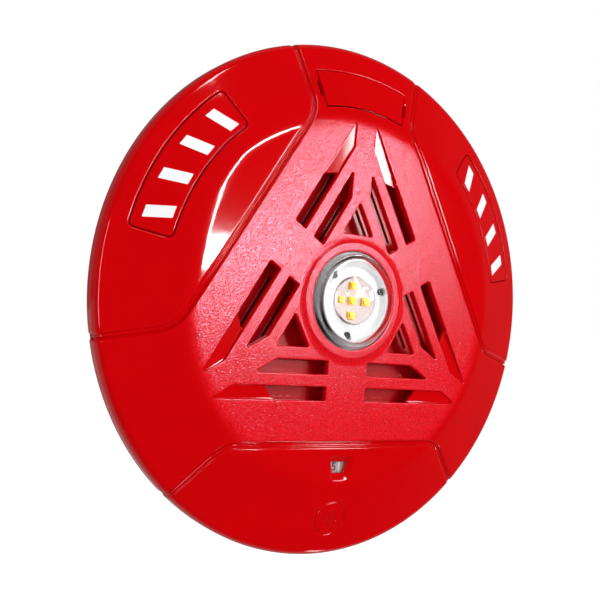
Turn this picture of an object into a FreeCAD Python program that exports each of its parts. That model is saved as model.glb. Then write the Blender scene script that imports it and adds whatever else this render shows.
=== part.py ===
import FreeCAD, Part
import math
import os

os.makedirs("parts", exist_ok=True)
V = FreeCAD.Vector

# Round wall strobe with a horn: a base on the wall and a head that twists onto it.
# Everything is built lying on its back: z is the distance from the wall, the top of the
# face is towards +y. At export it is stood up, so the face looks along -Y and the top is +Z.

# ---- driving dimensions, millimetres ----
face_r = 86.5            # outer radius of the front cover
face_z = 31.4            # flat hub of the face, from the wall
rim_w = 26.0             # sloping rim, measured inwards from face_r
rim_slope = 15.9         # degrees
hub_blend = 25.0         # radius between the hub and the sloping rim
shoulder_r = 3.2         # radius between the sloping rim and the side wall
cover_back_z = 18.1      # back edge of the cover
cover_t = 2.2            # wall of the cover

groove_chord = 48.1      # middle of a panel's straight groove, from the axis
groove_angle = 42.1      # degrees from a panel's middle to its radial grooves
groove_corner = 13.0     # radius of the groove's corners
groove_w = 1.5
groove_d = 0.9
groove_lip = 0.45        # rounding of the groove's lips

slot_edge = 33.85        # outer edge of the outer slots, square to their length, from the axis
slot_w = 4.55
rib_w = 4.05
slot_end = 8.1           # inner ends of the slots, along their length
middle_rib = 4.0         # half width of the rib between the two rows of slots
outer_slot_far = 29.6    # far end of the outer slots, along their length
vent_foot = 22.4         # foot of the triangular vent, from the axis
slot_lip = 0.4           # bevel of the slots' front edges
blade_d = 1.3            # depth of the blade-shaped recess at its slot

label_edge, label_w, label_half = 6.3, 13.3, 19.4     # from face_r inwards, radial width, degrees
label_t = 1.2
plate_edge, plate_w, plate_half = 9.4, 12.5, 14.4
plate_t = 1.6
pry_l, pry_w = 5.0, 0.9
insert_gap = 0.35        # groove around the inserts
seat_gap = 0.3           # between pieces that move past each other

window_inset, window_l = 6.4, 3.8                     # from the hub's edge inwards, and its height
window_half0, window_half1 = 3.2, 2.1
window_bevel = 2.2
window_bevel_d = 1.2

mark_edge, mark_r, mark_line, mark_d = 13.2, 6.2, 0.55, 0.35

lens_r = 16.4            # lens ring where it leaves the cover
lens_top_r = 15.2
lens_ring_h = 2.2        # from the hub to the foot of the dome
lens_dome_r = 15.0
lens_dome_h = 8.4
lens_t = 1.5
lens_flange_r = 18.8
lens_flange_t = 1.4
gasket_t = 0.8
collar_r = 20.0          # raised collar around the lens
collar_h = 0.7
lens_gap = 0.25

led_drop = 0.6           # the diode board's face, below the hub
led_board_t = 1.2
led_ring_r = 4.2
led_side = 2.2
led_h = 0.8
core_r = 13.2            # diode board, bowl and their seat, inside the lens
core_screw_r = 11.6
core_screw_angles = (20, 140, 260)
bowl_t = 0.8
bowl_rise = 1.8
optic_r = 7.9
optic_h = 6.2
optic_t = 1.1            # its side wall; it is thicker in the middle, like a lens
optic_flat, optic_hollow_flat = 0.7, 0.3               # height of each dome to its radius
optic_hollow_h = 2.8

baffle_drop = 7.2        # from the hub's face to the baffle's face
baffle_t = 1.5
baffle_gap = 3.1         # between the baffle and the selector's strip
baffle_slit = 1.3

base_inset = 6.5         # from face_r to the base's outside
base_wall = 2.0
base_floor = 2.4
base_rib_l = 26.0
skirt_gap = 3.0          # between the base's wall and the head's skirt
chassis_wall = 2.0
chassis_floor_z = 12.4   # back face of the head's floor
chassis_floor_t = 2.0
skirt_z = 3.4
flange_t = 2.0
lug_z, lug_h, lug_half = 6.2, 2.2, 6.0
lug_reach = 2.4
tab_h, tab_half = 2.2, 7.0
twist = 14.0             # degrees from locked to free
lug_angles = (30.0, 150.0, 270.0)

gang_spacing = 83.3      # single-gang box
octagon_spacing = 88.9   # four-inch octagonal box
box_screw_r = 2.2
box_slot_l = 8.0
entry_w, entry_h, entry_y = 46.0, 30.0, 27.0

term_w, term_d, term_h = 52.0, 15.0, 8.6
term_y = -14.0
term_pitch = 12.0
term_count = 4
term_screw_r = 3.0
pin_y = -33.0
pin_r = 1.0
leaf_w, leaf_t, leaf_z = 4.0, 0.6, 6.1

board_inner, board_gap = 29.5, 4.0
board_z, board_t = 17.0, 1.6
sounder_r, sounder_wall, sounder_h = 27.0, 1.8, 6.6
piezo_r, piezo_plate_t = 22.5, 0.3

screw_bolt_r = 1.5
screw_hole_r = 1.7
screw_head_r = 3.0
screw_head_h = 2.0
boss_gap = 1.5           # between the skirt and the cover's screw bosses
boss_r = 4.0
baffle_screw_inset = 6.0                              # from the baffle's edge
board_screw_r = 50.0
lock_screw_r, lock_head_r, lock_head_h = 1.6, 2.8, 2.2
lock_boss_r = 4.4
cover_screw_bite = 8.0                                # thread inside the cover's bosses
baffle_screw_bite = 3.5

selector_strip_w = 5.8
selector_pitch = 4.0
selector_steps = 5
selector_stem = 4.0
selector_knob_w, selector_knob_l = 6.0, 8.0
dial_x, dial_y, dial_r = 40.0, -36.0, 6.0

# ---- derived places ----
hub_r = face_r - rim_w
base_r = face_r - base_inset
base_inner = base_r - base_wall
chassis_r = base_inner - skirt_gap
chassis_inner = chassis_r - chassis_wall
cover_screw_r = chassis_inner - boss_gap - boss_r
lock_screw_v = chassis_inner - 0.4 - lock_boss_r
board_outer = chassis_inner - board_gap
label_outer = face_r - label_edge
label_inner = label_outer - label_w
plate_outer = face_r - plate_edge
plate_inner = plate_outer - plate_w
plate_mid = (plate_inner + plate_outer) / 2
window_v0 = hub_r - window_inset
window_v1 = window_v0 + window_l
selector_v = (window_v0 + window_v1) / 2
baffle_r = selector_v - selector_strip_w / 2 - baffle_gap
baffle_screw_r = baffle_r - baffle_screw_inset
mark_v = face_r - mark_edge
floor_top = chassis_floor_z + chassis_floor_t
hub_under = face_z - cover_t
baffle_z = face_z - baffle_drop
flange_z = cover_back_z + seat_gap
base_top = flange_z - seat_gap
tab_z = lug_z + lug_h + seat_gap
lens_foot_z = face_z + lens_ring_h
lens_flange_z = hub_under - gasket_t - lens_flange_t
board_top = board_z + board_t
led_z = face_z - led_drop
travel = selector_pitch * (selector_steps - 1)
panel_angles = (30.0, 150.0, 270.0)
arm_angles = (90.0, 210.0, 330.0)
slope = math.radians(rim_slope)
cos60, sin60 = 0.5, math.sqrt(3.0) / 2.0


# ---- geometry helpers ----
def loop(points, place):
    """Closed wire through (a, b) or (a, b, corner radius) points; place maps (a, b) to 3-D."""
    marks = []
    n = len(points)
    for i, point in enumerate(points):
        p = V(point[0], point[1], 0)
        radius = point[2] if len(point) > 2 else 0.0
        if radius <= 0:
            marks.append((p, None, p))
            continue
        a = V(points[i - 1][0], points[i - 1][1], 0) - p
        b = V(points[(i + 1) % n][0], points[(i + 1) % n][1], 0) - p
        a.normalize()
        b.normalize()
        half = a.getAngle(b) / 2.0
        reach = radius / math.tan(half)
        inward = (a + b).normalize()
        centre = p + inward * (radius / math.sin(half))
        marks.append((p + a * reach, centre - inward * radius, p + b * reach))
    edges = []
    for i, (start, middle, end) in enumerate(marks):
        if middle is not None:
            edges.append(Part.Arc(place(start), place(middle), place(end)).toShape())
        follow = marks[(i + 1) % n][0]
        if (follow - end).Length > 1e-6:
            edges.append(Part.LineSegment(place(end), place(follow)).toShape())
    return Part.Wire(edges)


def prism(points, z0, z1):
    face = Part.Face(loop(points, lambda p: V(p.x, p.y, z0)))
    return face.extrude(V(0, 0, z1 - z0))


def revolve(points):
    """Solid of revolution about the z axis from (radius, z, corner radius) points."""
    face = Part.Face(loop(points, lambda p: V(p.x, 0, p.y)))
    return face.revolve(V(0, 0, 0), V(0, 0, 1), 360)


def disc(r, z0, z1, x=0.0, y=0.0):
    return Part.makeCylinder(r, z1 - z0, V(x, y, z0))


def ring(inner, outer, z0, z1, x=0.0, y=0.0):
    return disc(outer, z0, z1, x, y).cut(disc(inner, z0 - 1, z1 + 1, x, y))


def block(w, d, z0, z1, x=0.0, y=0.0, round_r=0.0):
    pts = [(x - w / 2, y - d / 2), (x + w / 2, y - d / 2), (x + w / 2, y + d / 2), (x - w / 2, y + d / 2)]
    return prism([(a, b, round_r) for a, b in pts], z0, z1)


def turned(shape, degrees):
    out = shape.copy()
    out.rotate(V(0, 0, 0), V(0, 0, 1), degrees)
    return out


def mirrored(shape):
    return shape.mirror(V(0, 0, 0), V(1, 0, 0))


def polar(r, degrees):
    a = math.radians(degrees)
    return r * math.cos(a), r * math.sin(a)


def fuse(shapes):
    out = shapes[0]
    for shape in shapes[1:]:
        out = out.fuse(shape)
    return out.removeSplitter()


def sector(inner, outer, half, middle, z0, z1, corner=0.0):
    """Ring segment, half is its half angle in degrees about the direction middle."""
    def at(r, a):
        return V(*polar(r, middle + a), z0)
    edges = [
        Part.Arc(at(inner, half), at(inner, 0), at(inner, -half)).toShape(),
        Part.LineSegment(at(inner, -half), at(outer, -half)).toShape(),
        Part.Arc(at(outer, -half), at(outer, 0), at(outer, half)).toShape(),
        Part.LineSegment(at(outer, half), at(inner, half)).toShape()]
    solid = Part.Face(Part.Wire(edges)).extrude(V(0, 0, z1 - z0))
    if corner > 0:
        upright = [e for e in solid.Edges if abs(e.tangentAt(e.FirstParameter).z) > 0.99]
        solid = solid.makeFillet(corner, upright)
    return solid


def dome(inset, back, bore=0.0):
    """The cover's outer form, moved inwards by inset and closed at the height back."""
    shift = inset / math.cos(slope)
    top = face_z - inset
    knee = hub_r - (shift - inset) / math.tan(slope)
    wall = face_r - inset
    wall_z = face_z - shift - (wall - hub_r) * math.tan(slope)
    return revolve([
        (bore, back), (wall, back), (wall, wall_z, max(shoulder_r - inset, 0.3)),
        (knee, top, hub_blend - inset), (bore, top)])


def layer(depth):
    """The cover's outermost skin, depth thick."""
    return dome(-0.5, cover_back_z - 1).cut(dome(depth, cover_back_z - 2))


def panel(offset, z0, z1):
    """Plan of a glossy panel, grown by offset, for the panel in the direction +y."""
    b = math.radians(groove_angle)
    v = groove_chord - offset
    u = (offset + v * math.sin(b)) / math.cos(b)
    far = 70.0
    far_u, far_v = u + far * math.sin(b), v + far * math.cos(b)
    corner = groove_corner + offset
    return prism([(-u, v, corner), (u, v, corner), (far_u, far_v), (-far_u, far_v)], z0, z1)


def slant(distance, length):
    """Point of the right-hand slots: distance square to the slots, length along them."""
    return sin60 * distance - cos60 * length, cos60 * distance + sin60 * length


def slant_at(distance, u):
    """Point on the slanted line at distance where the sideways value is u."""
    return u, (distance - sin60 * u) / cos60


# ---- front cover ----
def slot_plans():
    """Plans of one arm's right-hand slots and vent, as point lists."""
    d1 = slot_edge
    d2 = d1 - slot_w
    d3 = d2 - rib_w
    d4 = d3 - slot_w
    d5 = d4 - rib_w
    r = 0.5
    outer = [slant(d1, slot_end) + (r,), slant(d1, outer_slot_far - 2.0) + (r,),
             slant(d2, outer_slot_far + 2.0) + (r,), slant(d2, slot_end) + (r,)]
    middle = [slant(d3, slot_end) + (r,), slant_at(d3, middle_rib) + (0.3,),
              slant_at(d4, middle_rib) + (r,), slant(d4, slot_end) + (r,)]
    foot_u = (d5 - cos60 * vent_foot) / sin60
    vent = [(-foot_u, vent_foot, r), (foot_u, vent_foot, r), (0, d5 / cos60, r)]
    return outer, middle, vent


def bevelled(plan, z0):
    """Cutter for a hole through the hub whose front edge has a small bevel."""
    low = loop(plan, lambda p: V(p.x, p.y, face_z - slot_lip))
    high = low.makeOffset2D(slot_lip + 0.05)
    high.translate(V(0, 0, slot_lip + 0.05))
    bevel = Part.makeLoft([low, high], True)
    return prism(plan, z0, face_z - slot_lip).fuse(bevel)


def blade(side):
    """Shallow blade-shaped recess that runs on from an outer slot; its floor rises outwards."""
    d1, d2 = slot_edge, slot_edge - slot_w
    a, b = slant(d1, outer_slot_far - 2.6), slant(d2, outer_slot_far + 1.4)
    tip, kink = slant_at(d1, middle_rib), slant_at(d2, middle_rib)
    plan = prism([a + (0.1,), tip + (0.4,), kink + (1.5,), b + (0.1,)], face_z - 4, face_z + 2)
    tilt = math.degrees(math.atan2(blade_d - 0.35, tip[1] - a[1]))
    space = Part.makeBox(60, 60, 10, V(-30, 0, 0))
    space.rotate(V(0, 0, 0), V(1, 0, 0), tilt)
    space.translate(V(0, a[1], face_z - blade_d))
    out = plan.common(space)
    return out if side > 0 else mirrored(out)


def front_cover():
    shell = dome(0, cover_back_z).cut(dome(cover_t, cover_back_z - 1))
    shell = shell.fuse(revolve([
        (lens_r - 1, hub_under + 0.5), (collar_r + 0.6, face_z - 0.2), (collar_r + 0.6, face_z),
        (collar_r - 0.5, face_z + collar_h * 0.35, 0.6), (collar_r - 1.4, face_z + collar_h, 1.2),
        (lens_r - 1, face_z + collar_h)]))
    pad = layer(cover_t + 1.6).cut(layer(cover_t * 0.5))
    pad = pad.common(sector(plate_inner - 1.5, plate_outer + 1.5, plate_half + 1.5, 90, 0, 40))
    shell = shell.fuse(pad)
    # bosses that hang from the inside of the face
    inside = dome(cover_t * 0.5, 0)
    posts = []
    for angle in panel_angles:
        x, y = polar(cover_screw_r, angle)
        posts.append(disc(boss_r, floor_top, face_z, x, y))
        x, y = polar(baffle_screw_r, angle)
        posts.append(disc(3.5, baffle_z, face_z, x, y))
    posts.append(disc(lock_boss_r, floor_top, face_z, 0, lock_screw_v))
    posts.append(ring(base_r + 0.5, base_r + 2.0, flange_z + flange_t, face_z))
    shell = shell.fuse(fuse(posts).common(inside))
    # panel grooves, with stepped lips
    tools = []
    band = panel(groove_w / 2, 10, 40).cut(panel(-groove_w / 2, 9, 41)).common(layer(groove_d))
    lips = panel(groove_w / 2 + groove_lip, 10, 40).cut(panel(-groove_w / 2 - groove_lip, 9, 41))
    groove = band.fuse(lips.common(layer(groove_lip * 0.45)))
    for angle in panel_angles:
        tools.append(turned(groove, angle - 90))
    # slots, vents and blades
    outer, middle, vent = slot_plans()
    right = fuse([bevelled(plan, hub_under - 2) for plan in (outer, middle)])
    arm = [right, mirrored(right), bevelled(vent, hub_under - 2), blade(1), blade(-1)]
    for angle in arm_angles:
        tools += [turned(tool, angle - 90) for tool in arm]
    # pockets of the labels and of the name plate
    for angle in (30.0, 150.0):
        tools.append(sector(label_inner, label_outer, label_half, angle, 10, 40, 1.6).common(layer(label_t)))
    seat = plate_t + seat_gap
    tools.append(sector(plate_inner, plate_outer, plate_half, 90, 10, 40, 0.5).common(layer(seat)))
    for side in (-1, 1):
        x, y = polar(plate_mid, 90 + side * (plate_half + 0.25))
        notch = block(pry_w, pry_l, hub_under - 4, face_z, x, y)
        notch.rotate(V(x, y, 0), V(0, 0, 1), side * plate_half)
        tools.append(notch.common(layer(seat + 0.8)))
        x, y = polar(plate_outer - 3.0, 90 + side * 8.0)
        tools.append(block(3.8, 2.4, 10, 40, x, y))
    tools += [disc(lens_r + lens_gap, hub_under - 5, face_z + 5)]
    tools += [disc(lock_head_r + seat_gap, hub_under - 5.2, face_z, 0, lock_screw_v)]
    tools += [disc(lock_screw_r + 0.25, 0, face_z, 0, lock_screw_v)]
    for angle in panel_angles:
        x, y = polar(cover_screw_r, angle)
        tools.append(disc(screw_bolt_r, 0, floor_top + 9, x, y))
        x, y = polar(baffle_screw_r, angle)
        tools.append(disc(screw_bolt_r, 0, baffle_z + 4, x, y))
    tools += window_tools() + mark_tools()
    for tool in tools:
        shell = shell.cut(tool)
    return shell


def window_tools():
    """Selector window: a trapezoid with a bevelled frame, in the bottom panel."""
    def frame(grow, z):
        pts = [(-window_half0 - grow, -window_v0 + grow), (window_half0 + grow, -window_v0 + grow),
               (window_half1 + grow, -window_v1 - grow), (-window_half1 - grow, -window_v1 - grow)]
        return loop([p + (0.4,) for p in pts], lambda p: V(p.x, p.y, z))
    opening = Part.Face(frame(0, hub_under - 3)).extrude(V(0, 0, 10))
    bevel = Part.makeLoft([frame(0.3, face_z - window_bevel_d), frame(window_bevel, face_z + 0.1)], True)
    return [opening, bevel]


def mark_tools():
    """Plain sunk mark near the rim: a ring around three slanted bars."""
    sunk = layer(mark_d)
    tools = [ring(mark_r - mark_line, mark_r, 10, 40, 0, -mark_v).common(sunk)]
    for step in (-1, 0, 1):
        bar = block(mark_line, 6.4 - 1.6 * abs(step), 10, 40, step * 2.2, -mark_v)
        bar.rotate(V(0, -mark_v, 0), V(0, 0, 1), 35)
        tools.append(bar.common(sunk))
    return tools


def insert(inner, outer, half, middle, thick, corner):
    """Plate that fills a pocket of the face, flush with it, with a groove around it."""
    a = math.degrees(insert_gap / ((inner + outer) / 2))
    plan = sector(inner + insert_gap, outer - insert_gap, half - a, middle, 10, 40, corner)
    return plan.common(dome(0, cover_back_z).cut(dome(thick, cover_back_z - 1)))


def name_plate():
    plate = insert(plate_inner, plate_outer, plate_half, 90, plate_t, 0.3)
    for side in (-1, 1):
        x, y = polar(plate_mid, 90 + side * (plate_half + 0.25))
        notch = block(pry_w + 0.9, pry_l, 10, 40, x, y)
        notch.rotate(V(x, y, 0), V(0, 0, 1), side * plate_half)
        plate = plate.cut(notch)
        x, y = polar(plate_outer - 3.0, 90 + side * 8.0)
        leg = block(3.0, 1.2, flange_z + flange_t + seat_gap, face_z, x, y)
        barb = prism([(0, 0), (0.5, 0.5), (0, 0.9)], -1.4, 1.4)
        barb.rotate(V(0, 0, 0), V(1, 0, 0), 90)
        barb.rotate(V(0, 0, 0), V(0, 0, 1), 90)
        barb.translate(V(x, y + 0.6, flange_z + flange_t + seat_gap + 0.1))
        plate = plate.fuse(leg.common(dome(plate_t * 0.5, 0))).fuse(barb)
    return plate


# ---- light unit ----
def lens():
    rho = (lens_dome_r ** 2 + lens_dome_h ** 2) / (2 * lens_dome_h)
    top = lens_foot_z + lens_dome_h

    def cap(r, z_foot, ball, back):
        ball_z = z_foot - math.sqrt(ball ** 2 - r ** 2)
        edges = [Part.LineSegment(V(0, 0, back), V(r, 0, back)).toShape(),
                 Part.LineSegment(V(r, 0, back), V(r, 0, z_foot)).toShape(),
                 Part.Arc(V(r, 0, z_foot), V(*around(ball, ball_z, r / 2)), V(0, 0, ball_z + ball)).toShape(),
                 Part.LineSegment(V(0, 0, ball_z + ball), V(0, 0, back)).toShape()]
        return Part.Face(Part.Wire(edges)).revolve(V(0, 0, 0), V(0, 0, 1), 360)

    def around(ball, ball_z, r):
        return r, 0, ball_z + math.sqrt(ball ** 2 - r ** 2)

    outer = cap(lens_dome_r, lens_foot_z, rho, lens_flange_z)
    ball_z = top - rho
    r_in = lens_dome_r - lens_t
    foot_in = ball_z + math.sqrt((rho - lens_t) ** 2 - r_in ** 2)
    inner = cap(r_in, foot_in, rho - lens_t, lens_flange_z - 1)
    shoulder = revolve([(0, lens_flange_z), (lens_flange_r, lens_flange_z),
                        (lens_flange_r, lens_flange_z + lens_flange_t),
                        (lens_r, lens_flange_z + lens_flange_t), (lens_r, face_z + 0.4, 0.5),
                        (lens_top_r, lens_foot_z, 0.4), (0, lens_foot_z)])
    return outer.fuse(shoulder).cut(inner).removeSplitter()


def lens_gasket():
    return ring(lens_r + lens_gap, lens_flange_r, hub_under - gasket_t, hub_under)


def core_spots():
    return [polar(core_screw_r, angle) for angle in core_screw_angles]


def reflector():
    """White dish around the light source; its screws stand on small flats in it."""
    hole = optic_r + seat_gap
    floor_z = led_z + bowl_t
    rim_z = led_z + bowl_t + bowl_rise
    dish = revolve([
        (hole, led_z), (core_r, led_z), (core_r, rim_z), (core_r - 0.4, rim_z),
        (core_r - 2.2, floor_z, 1.4), (hole, floor_z)])
    for x, y in core_spots():
        dish = dish.fuse(disc(1.4, led_z, floor_z, x, y))
        dish = dish.cut(disc(0.9, 0, floor_z + 0.1, x, y)).cut(disc(1.4, floor_z, floor_z + 9, x, y))
    return dish


def inner_optic():
    """Clear dome that spreads the light of the diodes."""
    def bowl(radius, height, flat):
        straight = height - radius * flat
        body = disc(radius, led_z, led_z + straight)
        ball = Part.makeSphere(radius, V(0, 0, 0))
        matrix = FreeCAD.Matrix()
        matrix.scale(1, 1, flat)
        ball = ball.transformGeometry(matrix)
        ball.translate(V(0, 0, led_z + straight))
        return body.fuse(ball.common(disc(radius + 1, led_z + straight, led_z + height + 1)))
    hollow = bowl(optic_r - optic_t, optic_hollow_h, optic_hollow_flat)
    return bowl(optic_r, optic_h, optic_flat).cut(hollow).removeSplitter()


led_spots = [(0.0, 0.0)] + [polar(led_ring_r, a) for a in (0, 90, 180, 270)]


def led_board():
    board = disc(core_r, led_z - led_board_t, led_z)
    for x, y in core_spots():
        board = board.cut(disc(0.9, 0, 50, x, y))
    return board


def led_packages():
    chips = []
    for x, y in led_spots:
        body = block(led_side, led_side, led_z, led_z + led_h * 0.6, x, y, 0.2)
        chips.append(body.fuse(disc(led_side * 0.42, led_z + led_h * 0.6, led_z + led_h, x, y)))
    return Part.makeCompound(chips)


def reflector_screws():
    """Three small dark screws that pin the dish and the diode board to the baffle."""
    seat = led_z + bowl_t
    return Part.makeCompound([screw(x, y, seat, lens_flange_z, 0.8, 1.1, 0.7, True) for x, y in core_spots()])


def sound_baffle():
    """Inner floor under the slots; its slits lie under the ribs, so nothing is seen through."""
    bottom = baffle_z - baffle_t
    plate = disc(baffle_r, bottom, baffle_z)
    plate = plate.fuse(ring(baffle_r - 1.5, baffle_r, bottom, hub_under - 0.2))
    plate = plate.fuse(disc(lens_flange_r - 0.8, bottom, lens_flange_z))
    plate = plate.fuse(disc(core_r, bottom, led_z - led_board_t))
    pitch = slot_w + rib_w
    first = slot_edge - slot_w - rib_w / 2
    rows = [(first + pitch, 10.0, 27.5), (first, 9.5, 33.0), (first - pitch, 9.5, 28.0)]
    slits = []
    for middle, start, end in rows:
        half = baffle_slit / 2
        plan = [slant(middle - half, start), slant(middle + half, start),
                slant(middle + half, end), slant(middle - half, end)]
        slits.append(prism([p + (0.6,) for p in plan], bottom - 1, baffle_z + 1))
    side = fuse(slits)
    for angle in arm_angles:
        for tool in (side, mirrored(side)):
            plate = plate.cut(turned(tool, angle - 90))
    for angle in panel_angles:
        plate = plate.cut(disc(screw_hole_r, 0, 40, *polar(baffle_screw_r, angle)))
    for x, y in core_spots():
        plate = plate.cut(disc(0.8, lens_flange_z - 0.5, 40, x, y))
    hollow = disc(core_r - 4.0, 0, led_z - led_board_t - 1.2)
    return plate.cut(hollow).removeSplitter()


# ---- electronics ----
def main_board():
    board = ring(board_inner, board_outer, board_z, board_top)
    board = board.cut(block(travel + selector_stem + 3, selector_stem + 2, 0, 40, 0, -selector_v))
    for angle in (60, 180, 300):
        board = board.cut(disc(screw_hole_r, 0, 40, *polar(board_screw_r, angle)))
    for angle in panel_angles:
        board = board.cut(disc(boss_r + 1.0, 0, 40, *polar(cover_screw_r, angle)))
    return board.cut(disc(lock_boss_r + 0.6, 0, 40, 0, lock_screw_v))


def capacitors():
    """Two can capacitors lying on the board, on small feet."""
    out = []
    for angle in (168, 192):
        x, y = polar(60.0, angle)
        can = Part.makeCylinder(3.4, 12.0, V(x, y - 6, board_top + 3.6), V(0, 1, 0))
        foot = block(4.0, 9.0, board_top, board_top + 1.6, x, y)
        out.append(can.fuse(foot).removeSplitter())
    return Part.makeCompound(out)


def inductor():
    x, y = polar(56.0, 12)
    core = disc(5.0, board_top, board_top + 1.2, x, y).fuse(disc(2.6, board_top, board_top + 5.4, x, y))
    return core.fuse(disc(5.0, board_top + 4.2, board_top + 5.4, x, y)).removeSplitter()


def inductor_coil():
    x, y = polar(56.0, 12)
    return ring(2.8, 4.4, board_top + 1.2, board_top + 4.2, x, y)


def circuit_chips():
    out = []
    for w, d, h, r, angle in ((9, 9, 1.4, 41, 195), (5, 6, 1.5, 41, 345), (6, 4, 1.6, 58, 45),
                              (4, 4, 1.2, 42, 255), (5, 4, 2.2, 60, 135), (3, 5, 1.4, 40, 100)):
        x, y = polar(r, angle)
        out.append(block(w, d, board_top, board_top + h, x, y, 0.2))
    return Part.makeCompound(out)


def led_header():
    x, y = polar(35.5, 300)
    return block(8.0, 4.0, board_top, board_top + 3.2, x, y, 0.3)


def sounder_housing():
    cup = disc(sounder_r, floor_top, floor_top + sounder_h)
    cup = cup.cut(disc(sounder_r - sounder_wall, floor_top + 1.6, floor_top + sounder_h + 1))
    step = ring(piezo_r - 2.0, sounder_r - sounder_wall, floor_top + 1.6, floor_top + 3.4)
    return cup.fuse(step).removeSplitter()


def piezo_plate():
    return disc(piezo_r, floor_top + 3.4, floor_top + 3.4 + piezo_plate_t)


def piezo_ceramic():
    z = floor_top + 3.4 + piezo_plate_t
    return disc(piezo_r * 0.62, z, z + 0.25)


def sounder_ring():
    z = floor_top + 3.4 + piezo_plate_t
    return ring(piezo_r - 1.8, sounder_r - sounder_wall - 0.2, z, z + 1.6)


# ---- head back ----
def rear_chassis():
    inner = chassis_inner
    body = disc(chassis_r, chassis_floor_z, floor_top)
    body = body.fuse(ring(inner, chassis_r, skirt_z, flange_z + flange_t))
    body = body.fuse(ring(inner, face_r - cover_t - 0.4, flange_z, flange_z + flange_t))
    for angle in lug_angles:
        body = body.fuse(sector(inner + 0.5, chassis_r + lug_reach, lug_half, angle, lug_z, lug_z + lug_h))
    for angle in (60, 180, 300):
        x, y = polar(board_screw_r, angle)
        body = body.fuse(disc(3.2, floor_top, board_z, x, y))
        body = body.cut(disc(screw_bolt_r, floor_top - 1, board_z + 1, x, y))
    for angle in panel_angles:
        body = body.cut(disc(screw_hole_r, 0, 40, *polar(cover_screw_r, angle)))
    body = body.cut(disc(lock_screw_r + 0.25, 0, 40, 0, lock_screw_v))
    length = travel + selector_stem + 1.0
    body = body.cut(block(length, selector_stem + 1.0, 0, 40, 0, -selector_v))
    body = body.cut(disc(dial_r - 0.7, 0, 40, dial_x, dial_y))
    for index in range(term_count):
        x = (index - (term_count - 1) / 2) * term_pitch
        body = body.cut(disc(pin_r, 0, 40, x, pin_y))
    return body.removeSplitter()


def screw(x, y, seat, tip, bolt_r, head_r, head_h, up):
    """Cross-head screw on z; up says that its head lies above the seat."""
    low, high = min(seat, tip), max(seat, tip)
    shank = disc(bolt_r, low, high, x, y)
    if up:
        head = disc(head_r, seat, seat + head_h, x, y)
        z0, z1 = seat + head_h * 0.45, seat + head_h + 1
    else:
        head = disc(head_r, seat - head_h, seat, x, y)
        z0, z1 = seat - head_h - 1, seat - head_h * 0.45
    long, thin = head_r * 1.1, head_r * 0.28
    cross = block(long, thin, z0, z1, x, y).fuse(block(thin, long, z0, z1, x, y))
    return shank.fuse(head).cut(cross).removeSplitter()


def cover_screws():
    tip = floor_top + cover_screw_bite
    spots = [polar(cover_screw_r, a) for a in panel_angles]
    return Part.makeCompound([
        screw(x, y, chassis_floor_z, tip, screw_bolt_r, screw_head_r, screw_head_h, False)
        for x, y in spots])


def baffle_screws():
    bottom = baffle_z - baffle_t
    tip = baffle_z + baffle_screw_bite
    spots = [polar(baffle_screw_r, a) for a in panel_angles]
    return Part.makeCompound([
        screw(x, y, bottom, tip, screw_bolt_r, screw_head_r, 1.8, False) for x, y in spots])


def board_screws():
    spots = [polar(board_screw_r, a) for a in (60, 180, 300)]
    return Part.makeCompound([
        screw(x, y, board_top, floor_top - 0.8, screw_bolt_r, screw_head_r, 1.8, True) for x, y in spots])


def lock_screw():
    seat = hub_under - 5.2
    return screw(0, lock_screw_v, seat, chassis_floor_z + 0.4, lock_screw_r, lock_head_r, lock_head_h, True)


def contact_pins():
    out = []
    tip = leaf_z + leaf_t + seat_gap
    for index in range(term_count):
        x = (index - (term_count - 1) / 2) * term_pitch
        out.append(disc(pin_r, tip, board_z, x, pin_y))
    return Part.makeCompound(out)


# ---- selectors ----
def candela_selector():
    """Slide: a numbered strip behind the window, a stem and a knob on the head's back."""
    strip_z = hub_under - 2.3
    length = travel + 9.0
    strip = block(length, selector_strip_w, strip_z, strip_z + 1.2, -travel / 2, -selector_v, 0.5)
    stem = block(selector_stem, selector_stem, chassis_floor_z - 0.3, strip_z, -travel / 2, -selector_v)
    knob = block(selector_knob_w, selector_knob_l, chassis_floor_z - 1.9, chassis_floor_z - 0.3,
                 -travel / 2, -selector_v, 0.8)
    grips = []
    for k in (-1, 0, 1):
        grips.append(block(0.5, 6.0, 0, chassis_floor_z - 1.5, -travel / 2 + 1.6 * k, -selector_v))
    body = fuse([strip, stem, knob])
    for grip in grips:
        body = body.cut(grip)
    return body


def candela_switch():
    """Slide switch that the selector's stem passes through."""
    z1 = board_top + 3.0
    body = block(travel + 14.0, 10.0, board_top, z1, 0, -selector_v, 0.4)
    return body.cut(block(travel + selector_stem + 3.0, selector_stem + 1.0, 0, 40, 0, -selector_v))


def tone_dial():
    """Rotary selector with an arrow-shaped screwdriver slot, in the head's back."""
    face = chassis_floor_z - 1.6
    dial = disc(dial_r, face, chassis_floor_z - seat_gap, dial_x, dial_y)
    dial = dial.fuse(disc(dial_r - 1.0, face, floor_top + 1.0, dial_x, dial_y))
    slot = block(dial_r * 1.3, 1.2, face - 1, face + 0.8, dial_x, dial_y)
    x = dial_x + dial_r * 0.65
    arrow = prism([(x, dial_y), (x - 2.2, dial_y + 1.6), (x - 2.2, dial_y - 1.6)], face - 1, face + 0.8)
    return dial.cut(slot).cut(arrow).removeSplitter()


def tone_switch():
    """Rotary switch under the dial, on the back of the board."""
    z0 = floor_top + 1.0 + seat_gap
    return block(12.0, 12.0, z0, board_z, dial_x, dial_y, 0.6)


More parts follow.
